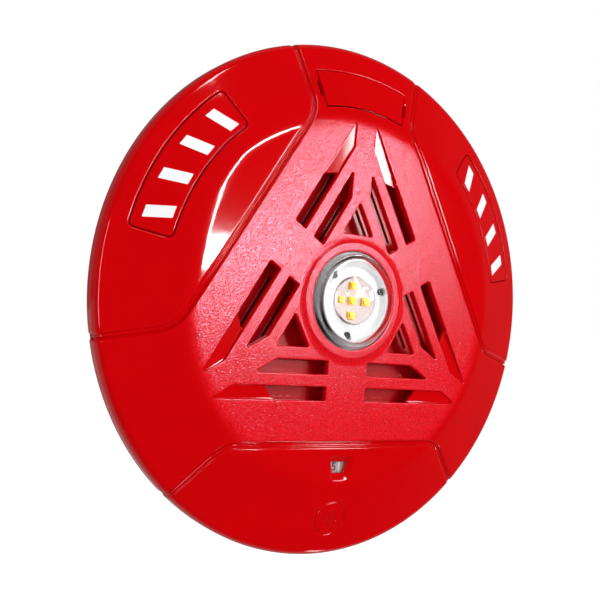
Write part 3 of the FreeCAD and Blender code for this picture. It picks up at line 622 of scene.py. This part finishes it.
def beaded(p):
    """1 on the beaded hub and arms, 0 on the smooth rim, panels and blades."""
    out = smooth((BEAD_R - np.hypot(p[:, 0], p[:, 1])) / BEAD_FADE + 0.5)
    for angle in PANELS:
        out = out * smooth((GROOVE_V - 1.2 - p @ polar(1.0, angle)) / 0.3 + 0.5)
    for line, _ in blades:
        out = out * smooth(distance(p, line) / 0.3 + 0.3)
    return out


SKIN_UNDER, END_BAND, END_T = 0.9, 2.5, 0.4


def make_cover():
    """Front cover as one shell, with its bead attribute."""
    pts, edges = plan_points()

    def drop(c):
        rho = np.hypot(c[:, 0], c[:, 1])
        out = (rho < LENS_HOLE * 0.9999) | (rho > RHO_END)
        for line in slots + [window]:
            m = near(c, line, 0.5)
            out[m] |= distance(c[m], line) < 0
        return out
    p, f = triangulate(pts, edges, drop)
    depth = sunk(p)
    top = lift(p, depth)
    inner = np.maximum(COVER_T, sunk(p, False) + SKIN_UNDER)
    inner = np.where(np.hypot(p[:, 0], p[:, 1]) > RHO_END - END_BAND, END_T, inner)
    bottom = lift(p, inner)
    shell = solid_sheet("cover_shell", p, f, top, bottom, face_normals(p, sunk), plain_inward(p))
    on_face = np.zeros(2 * len(p))
    on_face[:len(p)] = beaded(p)
    shell.data.attributes.new("bead", "FLOAT", "POINT").data.foreach_set("value", on_face)
    return shell


cover = make_cover()
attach(cover, "head")
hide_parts("front_cover")


# ---- inserts on the rim ----
BARS, BAR_STEP, BAR_HALF, BAR_IN, BAR_OUT, BAR_SLANT = 4, 9.4, 1.9, 69.4, 77.8, 1.5
INSERT_LIP, LABEL_SUNK, LABEL_FOOT = 0.3, 0.12, 0.04


def bar_loops(middle):
    """Slanted white bars across a label, evenly spaced along it."""
    loops = []
    for k in range(BARS):
        at = middle + (k - (BARS - 1) / 2) * BAR_STEP
        pts = [(BAR_IN, -BAR_HALF - BAR_SLANT, 0.12), (BAR_OUT, -BAR_HALF + BAR_SLANT, 0.12),
               (BAR_OUT, BAR_HALF + BAR_SLANT, 0.12), (BAR_IN, BAR_HALF - BAR_SLANT, 0.12)]
        loops.append(counter(resample(rot(rounded(pts), at), 0.8)))
    return loops


def make_insert(name, pocket, top_depth, bottom_depth, bars):
    """Plate with a rounded edge that lies in a pocket of the rim."""
    edge = beside(pocket, INSERT_GAP)

    def depth(p):
        d = distance(p, edge)
        return top_depth + round_lip(-d, INSERT_LIP)
    rows = [edge] + bars
    edges, count = [], 0
    for line in rows:
        n = len(line)
        edges += [(count + k, count + (k + 1) % n) for k in range(n)]
        count += n
    rows += [beside(edge, d) for d in (0.04, 0.1, 0.18, 0.3)]
    x, y = np.meshgrid(np.arange(edge[:, 0].min(), edge[:, 0].max(), 1.1),
                       np.arange(edge[:, 1].min(), edge[:, 1].max(), 1.1))
    grid = np.column_stack([x.ravel(), y.ravel()])
    keep = distance(grid, edge) < -0.8
    for line in bars:
        keep &= np.abs(distance(grid, line)) > 0.4
    pts = np.vstack(rows + [grid[keep]])
    p, f = triangulate(pts, edges, lambda c: distance(c, edge) > 0)
    top = lift(p, depth(p))
    bottom = lift(p, np.full(len(p), bottom_depth))
    plate_mesh = solid_sheet(name, p, f, top, bottom, face_normals(p, depth), plain_inward(p))
    centre = p[f].mean(axis=1)
    white = np.zeros(len(plate_mesh.data.polygons), int)
    for line in bars:
        white[:len(f)] |= distance(centre, line) < 0
    plate_mesh.data.polygons.foreach_set("material_index", white.tolist())
    return plate_mesh


label_skins = []
for side, pocket, middle in (("left", labels[0], 150.0), ("right", labels[1], 30.0)):
    skin = make_insert("label_skin_" + side, pocket, LABEL_SUNK, LABEL_T - LABEL_FOOT, bar_loops(middle))
    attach(skin, "head")
    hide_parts("label_" + side)
    label_skins.append(skin)


# ---- clear parts ----
SHARP_ANGLE = 30.0


def lathe(name, profile, segments=144):
    """Closed mesh turned about the axis from a closed profile of (radius, height) points."""
    profile = np.array(profile)
    n = len(profile)
    verts, ring_start = [], []
    for r, z in profile:
        ring_start.append(len(verts))
        if r < 1e-6:
            verts.append((0.0, -z * MM, 0.0))
            continue
        for k in range(segments):
            a = 2 * math.pi * k / segments
            verts.append((r * math.cos(a) * MM, -z * MM, r * math.sin(a) * MM))
    faces = []
    for i in range(n):
        j = (i + 1) % n
        a, b = ring_start[i], ring_start[j]
        if profile[i][0] < 1e-6 and profile[j][0] < 1e-6:
            continue
        for k in range(segments):
            m = (k + 1) % segments
            if profile[i][0] < 1e-6:
                faces.append((a, b + m, b + k))
            elif profile[j][0] < 1e-6:
                faces.append((a + k, a + m, b))
            else:
                faces.append((a + k, a + m, b + m, b + k))
    mesh = bpy.data.meshes.new(name)
    mesh.from_pydata(verts, [], faces)
    mesh.validate()
    mesh.polygons.foreach_set("use_smooth", [True] * len(mesh.polygons))
    mesh.set_sharp_from_angle(angle=math.radians(SHARP_ANGLE))
    return put(name, mesh)


def cap(r, z_foot, height, steps=28):
    """Points of a spherical cap from its foot to the axis."""
    ball = (r * r + height * height) / (2 * height)
    z_ball = z_foot + height - ball
    turn = math.asin(r / ball)
    return [(ball * math.sin(turn * (1 - k / steps)), z_ball + ball * math.cos(turn * (1 - k / steps)))
            for k in range(steps + 1)]


def fillet(points):
    """Profile of (r, z, corner radius) points with its corners rounded."""
    return [tuple(p) for p in rounded(points, closed=False, steps=6)]


LENS_FLANGE_R, LENS_FLANGE_Z, LENS_FLANGE_T, LENS_R, LENS_TOP_R = 18.8, 27.0, 1.4, 16.4, 15.2
LENS_FOOT_Z, DOME_R, DOME_H, LENS_T = 33.6, 15.0, 8.4, 1.5


def make_lens():
    """Clear lens with its flange, ring and hollow dome."""
    inner_r = DOME_R - LENS_T
    ball = (DOME_R ** 2 + DOME_H ** 2) / (2 * DOME_H)
    z_ball = LENS_FOOT_Z + DOME_H - ball
    foot = z_ball + math.sqrt((ball - LENS_T) ** 2 - inner_r ** 2)
    inside = cap(inner_r, foot, LENS_FOOT_Z + DOME_H - LENS_T - foot)
    side = fillet([
        (inner_r, LENS_FLANGE_Z, 0), (LENS_FLANGE_R, LENS_FLANGE_Z, 0.1),
        (LENS_FLANGE_R, LENS_FLANGE_Z + LENS_FLANGE_T, 0.1), (LENS_R, LENS_FLANGE_Z + LENS_FLANGE_T, 0.05),
        (LENS_R, HUB_Z + 0.4, 0.6), (LENS_TOP_R, LENS_FOOT_Z, 0.25), (DOME_R, LENS_FOOT_Z, 0)])
    outside = cap(DOME_R, LENS_FOOT_Z, DOME_H)
    return lathe("lens_dome", side + outside[1:] + inside[::-1][:-1] + [inside[0]])


OPTIC_R, OPTIC_H, OPTIC_T, OPTIC_HOLLOW_H, LED_Z = 7.9, 6.2, 1.1, 2.8, 30.8


def make_optic():
    """Small clear dome over the diodes, hollow below."""
    def bowl(r, height, flat, steps=20):
        straight = height - r * flat
        arc = []
        for k in range(steps + 1):
            t = math.pi / 2 * k / steps
            arc.append((r * math.cos(t) if k < steps else 0.0, LED_Z + straight + flat * r * math.sin(t)))
        return arc
    outside = [(OPTIC_R, LED_Z)] + bowl(OPTIC_R, OPTIC_H, 0.7)
    inside = [(OPTIC_R - OPTIC_T, LED_Z)] + bowl(OPTIC_R - OPTIC_T, OPTIC_HOLLOW_H, 0.3)
    return lathe("optic_dome", outside + inside[::-1], segments=96)


clear_parts = []
for piece, node, slot in ((make_lens(), "lens", "clear_lens"), (make_optic(), "inner_optic", "clear_optic")):
    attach(piece, "head")
    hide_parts(node)
    clear_parts.append(piece)


# ---- numerals of the candela selector ----
NUMERAL_PITCH, NUMERAL_X, NUMERAL_Z, NUMERAL_SIZE, STRIP_TOP_Z = 4.0, -0.3, -56.0, 4.0, 28.1
INK_T, INK_BOLD = 0.02, 0.03


def make_numerals():
    """Plain numerals 5 to 1 along the selector's strip, the first one in the window at rest."""
    parts = []
    for k, text in enumerate("54321"):
        curve = bpy.data.curves.new("numeral", "FONT")
        curve.body = text
        curve.size = NUMERAL_SIZE * MM
        curve.extrude = INK_T * MM
        curve.offset = INK_BOLD * MM
        curve.align_x = "CENTER"
        curve.align_y = "CENTER"
        holder = put("numeral", curve)
        x = (NUMERAL_X - k * NUMERAL_PITCH) * MM
        at = Vector((x, -(STRIP_TOP_Z + INK_T) * MM, NUMERAL_Z * MM))
        place = Matrix.Translation(at) @ Matrix.Rotation(math.pi / 2, 4, "X")
        bpy.context.view_layer.update()
        mesh = bpy.data.meshes.new_from_object(holder.evaluated_get(bpy.context.evaluated_depsgraph_get()))
        mesh.transform(place)
        parts.append(mesh)
        bpy.data.objects.remove(holder)
    verts, faces = [], []
    for mesh in parts:
        start = len(verts)
        verts += [tuple(v.co) for v in mesh.vertices]
        faces += [[start + i for i in poly.vertices] for poly in mesh.polygons]
    joined = bpy.data.meshes.new("selector_numerals")
    joined.from_pydata(verts, [], faces)
    joined.validate()
    return put("selector_numerals", joined)


numerals = make_numerals()
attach(numerals, "candela_selector")


# ---- materials ----
def tint(r, g, b):
    """Linear colour from 0-255 values as seen on screen."""
    def lin(c):
        c /= 255
        return c / 12.92 if c <= 0.04045 else ((c + 0.055) / 1.055) ** 2.4
    return lin(r), lin(g), lin(b), 1.0


def shader(name, **values):
    """New material; keyword values go straight onto the Principled shader's sockets."""
    mat = bpy.data.materials.new(name)
    mat.use_nodes = True
    node = mat.node_tree.nodes["Principled BSDF"]
    for key, value in values.items():
        node.inputs[key.replace("_", " ")].default_value = value
    return mat, mat.node_tree, node


def place_noise(tree, size_mm, detail=2.0, stretch=(1, 1, 1)):
    """Noise of the given size in the object's own space; stretch lengthens it along an axis."""
    coords = tree.nodes.new("ShaderNodeTexCoord")
    mapping = tree.nodes.new("ShaderNodeMapping")
    mapping.inputs["Scale"].default_value = [1000 / size_mm / k for k in stretch]
    noise = tree.nodes.new("ShaderNodeTexNoise")
    noise.inputs["Scale"].default_value = 1.0
    noise.inputs["Detail"].default_value = detail
    tree.links.new(coords.outputs["Object"], mapping.inputs["Vector"])
    tree.links.new(mapping.outputs["Vector"], noise.inputs["Vector"])
    return noise.outputs["Fac"]


def spread(tree, value, low, high, reach=0.2):
    """The middle of a noise, within reach of 0.5, mapped onto low..high."""
    node = tree.nodes.new("ShaderNodeMapRange")
    node.inputs["From Min"].default_value = 0.5 - reach
    node.inputs["From Max"].default_value = 0.5 + reach
    node.inputs["To Min"].default_value = low
    node.inputs["To Max"].default_value = high
    tree.links.new(value, node.inputs["Value"])
    return node.outputs["Result"]


def two_tone(tree, value, a, b):
    """Mix from a to b; each is a colour or another node's output."""
    node = tree.nodes.new("ShaderNodeMix")
    node.data_type = "RGBA"
    for key, side in (("A", a), ("B", b)):
        if isinstance(side, bpy.types.NodeSocket):
            tree.links.new(side, node.inputs[key])
        else:
            node.inputs[key].default_value = side
    tree.links.new(value, node.inputs["Factor"])
    return node.outputs["Result"]


def bump(tree, height, deep_mm, strength=1.0, below=None):
    """Normal bent by a height; below is the normal it starts from."""
    node = tree.nodes.new("ShaderNodeBump")
    node.inputs["Distance"].default_value = deep_mm * MM
    node.inputs["Strength"].default_value = strength
    tree.links.new(height, node.inputs["Height"])
    if below is not None:
        tree.links.new(below, node.inputs["Normal"])
    return node.outputs["Normal"]


def past(tree, axis, limit_mm, way):
    """1 where the object's own coordinate lies past the limit, 0 elsewhere."""
    coords = tree.nodes.new("ShaderNodeTexCoord")
    split = tree.nodes.new("ShaderNodeSeparateXYZ")
    step = tree.nodes.new("ShaderNodeMath")
    step.operation = way
    step.inputs[1].default_value = limit_mm * MM
    tree.links.new(coords.outputs["Object"], split.inputs["Vector"])
    tree.links.new(split.outputs[axis], step.inputs[0])
    return step.outputs["Value"]


def scaled(colour, k):
    """The colour made lighter or darker."""
    return tuple(min(1.0, c * k) for c in colour[:3]) + (1.0,)


PLASTIC_CLOUD_MM, METAL_CLOUD_MM, RED_CLOUD_MM = 14.0, 6.0, 22.0


def plastic(name, colour, rough, grain_mm=0.5, grain_deep=0.006, vary=0.06, **values):
    """Moulded plastic: a fine grain, slightly uneven gloss and colour."""
    mat, tree, node = shader(name, **values)
    patch = spread(tree, place_noise(tree, PLASTIC_CLOUD_MM, 3.0), 0, 1)
    fine = place_noise(tree, grain_mm, 2.0)
    tone = two_tone(tree, patch, scaled(colour, 1 - vary), scaled(colour, 1 + vary))
    tree.links.new(tone, node.inputs["Base Color"])
    tree.links.new(spread(tree, fine, rough * 0.85, min(1.0, rough * 1.15)), node.inputs["Roughness"])
    tree.links.new(bump(tree, fine, grain_deep), node.inputs["Normal"])
    return mat


def metal(name, colour, rough, grain_mm=0.3, stretch=(1, 1, 1), deep=0.002):
    """Plated or drawn metal with fine lines along the longer direction of its grain."""
    mat, tree, node = shader(name, Metallic=1.0)
    patch = spread(tree, place_noise(tree, METAL_CLOUD_MM, 3.0), 0, 1)
    fine = place_noise(tree, grain_mm, 3.0, stretch)
    tone = two_tone(tree, patch, scaled(colour, 0.88), scaled(colour, 1.06))
    tree.links.new(tone, node.inputs["Base Color"])
    tree.links.new(spread(tree, fine, rough * 0.7, rough * 1.3), node.inputs["Roughness"])
    tree.links.new(bump(tree, fine, deep), node.inputs["Normal"])
    return mat


RED, SPECK_DARK, SPECK_LIGHT = tint(196, 0, 5), tint(196, 2, 10), tint(228, 12, 26)
WHITE, SHEEN = (1.0, 1.0, 1.0, 1.0), (1.0, 0.76, 0.98, 1.0)
SMOOTH_ROUGH, BEAD_ROUGH = 0.06, 0.19
BEAD_MM, BEAD_DEEP, SPARKLE_MM, GRAIN_REACH = 0.5, 0.068, 0.42, 0.12
PEEL_MM, PEEL_DEEP = 5.0, 0.012
RED_IOR, PLAIN_LEVEL = 1.5, 0.5


def smooth_finish(tree):
    """Colour and normal of the smooth red: faint clouds and a faint orange peel."""
    patch = spread(tree, place_noise(tree, RED_CLOUD_MM, 2.0), 0, 1)
    peel = place_noise(tree, PEEL_MM, 1.0)
    colour = two_tone(tree, patch, scaled(RED, 0.97), scaled(RED, 1.03))
    return colour, bump(tree, peel, PEEL_DEEP, 0.5)


def cover_red():
    """Glossy rim and panels with a faint orange peel, and a finely beaded hub."""
    mat, tree, node = shader("red_cover", IOR=RED_IOR)
    where = tree.nodes.new("ShaderNodeAttribute")
    where.attribute_name = "bead"
    bead = where.outputs["Fac"]
    plain, wavy = smooth_finish(tree)
    grain = place_noise(tree, BEAD_MM, 1.5)
    rough = tree.nodes.new("ShaderNodeMapRange")
    rough.inputs["To Min"].default_value = SMOOTH_ROUGH
    rough.inputs["To Max"].default_value = BEAD_ROUGH
    tree.links.new(bead, rough.inputs["Value"])
    tree.links.new(rough.outputs["Result"], node.inputs["Roughness"])
    tree.links.new(two_tone(tree, bead, WHITE, SHEEN), node.inputs["Specular Tint"])
    sparkle = place_noise(tree, SPARKLE_MM, 1.0)
    level = tree.nodes.new("ShaderNodeMix")
    level.inputs["A"].default_value = PLAIN_LEVEL
    tree.links.new(bead, level.inputs["Factor"])
    tree.links.new(spread(tree, sparkle, 0.1, 1.0, GRAIN_REACH), level.inputs["B"])
    tree.links.new(level.outputs["Result"], node.inputs["Specular IOR Level"])
    speck = two_tone(tree, spread(tree, grain, 0, 1, GRAIN_REACH), SPECK_DARK, SPECK_LIGHT)
    tree.links.new(two_tone(tree, bead, plain, speck), node.inputs["Base Color"])
    on_beads = tree.nodes.new("ShaderNodeMath")
    on_beads.operation = "MULTIPLY"
    tree.links.new(bead, on_beads.inputs[0])
    tree.links.new(grain, on_beads.inputs[1])
    tree.links.new(bump(tree, on_beads.outputs["Value"], BEAD_DEEP, 1.0, wavy), node.inputs["Normal"])
    return mat


def smooth_red(name):
    """The cover's smooth red, for the pieces let into the rim."""
    mat, tree, node = shader(name, IOR=RED_IOR, Roughness=SMOOTH_ROUGH)
    colour, wavy = smooth_finish(tree)
    tree.links.new(colour, node.inputs["Base Color"])
    tree.links.new(wavy, node.inputs["Normal"])
    return mat


def clear_plastic(name, ior, tone):
    """Clear plastic that lets lamps shine through it without a dark shadow."""
    mat, tree, node = shader(name, IOR=ior, Roughness=0.0, Base_Color=tone)
    node.inputs["Transmission Weight"].default_value = 1.0
    flow = place_noise(tree, 9.0, 1.0)
    tree.links.new(bump(tree, flow, 0.02, 0.4), node.inputs["Normal"])
    path = tree.nodes.new("ShaderNodeLightPath")
    open_to_light = tree.nodes.new("ShaderNodeBsdfTransparent")
    mix = tree.nodes.new("ShaderNodeMixShader")
    tree.links.new(path.outputs["Is Shadow Ray"], mix.inputs["Fac"])
    tree.links.new(node.outputs["BSDF"], mix.inputs[1])
    tree.links.new(open_to_light.outputs["BSDF"], mix.inputs[2])
    tree.links.new(mix.outputs["Shader"], tree.nodes["Material Output"].inputs["Surface"])
    return mat


STRIP_WHITE_X = 1.5


def strip_print():
    """Matt strip: greyish pink where the numerals stand, white at its end."""
    mat, tree, node = shader("selector_strip_print", Roughness=0.45)
    at_end = past(tree, "X", STRIP_WHITE_X, "GREATER_THAN")
    lines = spread(tree, place_noise(tree, 0.35, 1.0, (1, 40, 40)), 0, 1)
    pink = two_tone(tree, lines, tint(176, 130, 134), tint(206, 176, 178))
    tree.links.new(two_tone(tree, at_end, pink, tint(250, 250, 248)), node.inputs["Base Color"])
    return mat


BOSS_FOOT_Z = 26.9


def baffle_finish():
    """Glossy red baffle; its middle boss, seen through the foot of the lens, is painted white as a painted
    highlight that brightens the lens's ring.
    """
    mat, tree, node = shader("red_baffle_gloss", Roughness=0.22)
    # painted highlight: past this height the boss is painted white, standing in for the bright reflections
    # seen in the lens's ring
    painted_highlight_on_boss = past(tree, "Y", -BOSS_FOOT_Z, "LESS_THAN")
    fine = place_noise(tree, 0.6, 2.0)
    red = two_tone(tree, spread(tree, fine, 0, 1), tint(194, 3, 17), tint(202, 5, 19))
    # white on the boss is a painted highlight, not the baffle's own colour
    tree.links.new(two_tone(tree, painted_highlight_on_boss, red, tint(218, 214, 216)), node.inputs["Base Color"])
    tree.links.new(bump(tree, fine, 0.003), node.inputs["Normal"])
    return mat


def wear(node_name, mat):
    """A CAD node keeps its mesh and gets the material in every slot."""
    data = nodes[node_name].data
    if not data.materials:
        data.materials.append(mat)
    for k in range(len(data.materials)):
        data.materials[k] = mat


cover.data.materials.append(cover_red())
label_red = smooth_red("red_label_gloss")
label_white = plastic("label_white", tint(236, 236, 238), 0.3, 0.3, 0.002, 0.01)
for skin in label_skins:
    skin.data.materials.append(label_red)
    skin.data.materials.append(label_white)
lens_dome, optic_dome = clear_parts
lens_dome.data.materials.append(clear_plastic("lens_clear", 1.49, WHITE))
optic_dome.data.materials.append(clear_plastic("optic_clear", 1.46, (0.98, 0.93, 0.93, 1.0)))
numerals.data.materials.append(plastic("numeral_ink", tint(30, 26, 30), 0.5, 0.3, 0.001, 0.05))

matt_black = plastic("matt_black", tint(18, 18, 19), 0.75, 0.4, 0.01, 0.1)
charcoal = plastic("charcoal_moulded", tint(52, 53, 56), 0.5, 0.45, 0.02, 0.08)
black = plastic("black_moulded", tint(28, 28, 30), 0.4, 0.4, 0.01, 0.1)
zinc = metal("zinc_plated", tint(196, 200, 204), 0.28)
steel = metal("dark_screw", tint(58, 56, 58), 0.3)
brass = metal("brass_sheet", tint(214, 176, 92), 0.26, 0.3, (12, 1, 1))
copper = metal("copper_windings", tint(190, 96, 52), 0.3, 0.25, (20, 20, 1), 0.01)
board_green = plastic("board_mask", tint(18, 74, 46), 0.5, 0.8, 0.01, 0.12)
board_white = plastic("board_white", tint(186, 174, 172), 0.35, 0.5, 0.003, 0.03)
finishes = {
    "mounting_base": charcoal, "rear_chassis": charcoal, "tone_dial": black, "terminal_block": black,
    "led_header": plastic("header_shell", tint(214, 208, 190), 0.4),
    "sounder_housing": matt_black, "sounder_ring": matt_black,
    "circuit_chips": plastic("chip_epoxy", tint(24, 24, 26), 0.55),
    "candela_switch": plastic("switch_shell", tint(34, 36, 40), 0.45), "tone_switch": black,
    "terminal_clamps": zinc, "terminal_screws": zinc, "board_screws": zinc, "cover_screws": zinc,
    "baffle_screws": zinc, "lock_screw": zinc, "reflector_screws": steel,
    "contact_leaves": brass, "contact_pins": brass, "piezo_plate": brass, "inductor_coil": copper,
    "main_board": board_green, "led_board": board_white,
    "inductor": plastic("ferrite_core", tint(46, 46, 48), 0.6, 0.3, 0.01, 0.15),
    "capacitors": plastic("capacitor_sleeve", tint(28, 34, 74), 0.3, 0.8, 0.003, 0.08),
    "piezo_ceramic": plastic("silvered_ceramic", tint(216, 212, 196), 0.35, 0.4, 0.004, 0.06),
    "lens_gasket": plastic("gasket_silicone", tint(196, 196, 198), 0.6, 0.3, 0.01, 0.06),
    "sound_baffle": baffle_finish(),
    "reflector": plastic("dish_white", tint(222, 222, 224), 0.14, 0.6, 0.002, 0.01),
    "led_packages": plastic("phosphor_yellow", tint(252, 204, 4), 0.35, 0.3, 0.004, 0.04),
    "name_plate": smooth_red("red_plate_gloss"), "candela_selector": strip_print(),
}
for name, mat in finishes.items():
    wear(name, mat)


# ---- stage and light ----
FLOOR_Z, FLOOR_HALF, FLOOR_DEEP, FLOOR_GREY, FLOOR_GLOW = -0.30, 3, 4, 0.62, 0.72
LAMP_AWAY = 1.6
DARK_ROOM, BACK_ROOM, SOFT_LIGHT = 0.02, 0.16, 0.61
BACK_START, BACK_FULL = -0.5, 0.1


def make_world():
    """White around the object for the eye; softer surroundings for gloss and for soft light."""
    world = bpy.data.worlds.new("world")
    bpy.context.scene.world = world
    world.use_nodes = True
    tree = world.node_tree
    tree.nodes.clear()
    out = tree.nodes.new("ShaderNodeOutputWorld")
    path = tree.nodes.new("ShaderNodeLightPath")
    coords = tree.nodes.new("ShaderNodeTexCoord")
    split = tree.nodes.new("ShaderNodeSeparateXYZ")
    tree.links.new(coords.outputs["Generated"], split.inputs["Vector"])

    def background(strength):
        node = tree.nodes.new("ShaderNodeBackground")
        node.inputs["Color"].default_value = WHITE
        node.inputs["Strength"].default_value = strength
        return node

    def mixed(factor, a, b):
        node = tree.nodes.new("ShaderNodeMixShader")
        tree.links.new(factor, node.inputs["Fac"])
        tree.links.new(a.outputs[0], node.inputs[1])
        tree.links.new(b.outputs[0], node.inputs[2])
        return node
    white, dark = background(1.0), background(DARK_ROOM)
    grey, soft = background(BACK_ROOM), background(SOFT_LIGHT)
    behind = tree.nodes.new("ShaderNodeMapRange")
    behind.interpolation_type = "SMOOTHSTEP"
    behind.inputs["From Min"].default_value = BACK_START
    behind.inputs["From Max"].default_value = BACK_FULL
    tree.links.new(split.outputs["Y"], behind.inputs["Value"])
    gloss = mixed(behind.outputs["Result"], dark, grey)
    clear = mixed(behind.outputs["Result"], dark, white)
    rest = mixed(path.outputs["Is Glossy Ray"], soft, gloss)
    rest = mixed(path.outputs["Is Transmission Ray"], rest, clear)
    seen = mixed(path.outputs["Is Camera Ray"], rest, white)
    tree.links.new(seen.outputs[0], out.inputs["Surface"])


def softbox(name, x, z, width, height, radiance, roll):
    """Rectangular lamp in front; x and z are its direction's parts, sizes are per unit of distance."""
    d = Vector((x, -math.sqrt(1 - x * x - z * z), z)).normalized()
    light = bpy.data.lights.new(name, "AREA")
    light.shape = "RECTANGLE"
    light.size, light.size_y = width * LAMP_AWAY, height * LAMP_AWAY
    light.energy = radiance * math.pi * light.size * light.size_y
    obj = put(name, light)
    obj.rotation_mode = "QUATERNION"
    obj.location = d * LAMP_AWAY
    spin = Quaternion((0, 0, 1), math.radians(roll))
    obj.rotation_quaternion = (-d).to_track_quat("-Z", "Y") @ spin
    obj.visible_camera = False


make_world()
# name, x and z of the direction, width, height, radiance, roll in degrees
LAMPS = [
    ("key_upper", 0.315, 0.432, 0.22, 0.018, 72, 0.0),
    ("key_edge", 0.215, 0.36, 0.018, 0.14, 60, 0.0),
    ("key_curve", 0.302, 0.205, 0.018, 0.24, 80, 42.0),
    ("key_foot", 0.432, 0.093, 0.10, 0.043, 96, 0.0),
    ("strip_box", 0.578, 0.205, 0.07, 0.30, 26, 0.0),
    ("top_box", 0.02, 0.72, 0.09, 0.18, 16, 0.0),
    ("left_box", -0.72, 0.05, 0.10, 0.5, 7, 0.0),
    ("low_box", 0.52, -0.832, 0.14, 0.04, 20, 0.0),
]
for lamp in LAMPS:
    softbox(*lamp)


def make_floor():
    """Pale floor below the object; white to the eye, with the object's soft shadow."""
    mesh = bpy.data.meshes.new("floor")
    corners = [(-FLOOR_HALF, 0, FLOOR_Z), (FLOOR_HALF, 0, FLOOR_Z),
               (FLOOR_HALF, FLOOR_DEEP, FLOOR_Z), (-FLOOR_HALF, FLOOR_DEEP, FLOOR_Z)]
    mesh.from_pydata(corners, [], [(0, 1, 2, 3)])
    floor = put("floor", mesh)
    grey = (FLOOR_GREY, FLOOR_GREY, FLOOR_GREY, 1.0)
    mat, tree, node = shader("floor_pale", Roughness=0.9, Base_Color=grey)
    path = tree.nodes.new("ShaderNodeLightPath")
    glow = tree.nodes.new("ShaderNodeMath")
    glow.operation = "MAXIMUM"
    tree.links.new(path.outputs["Is Camera Ray"], glow.inputs[0])
    tree.links.new(path.outputs["Is Transmission Ray"], glow.inputs[1])
    share = tree.nodes.new("ShaderNodeMath")
    share.operation = "MULTIPLY"
    share.inputs[1].default_value = FLOOR_GLOW
    tree.links.new(glow.outputs["Value"], share.inputs[0])
    node.inputs["Emission Color"].default_value = WHITE
    tree.links.new(share.outputs["Value"], node.inputs["Emission Strength"])
    mesh.materials.append(mat)


make_floor()
bpy.context.scene.view_settings.view_transform = "Standard"
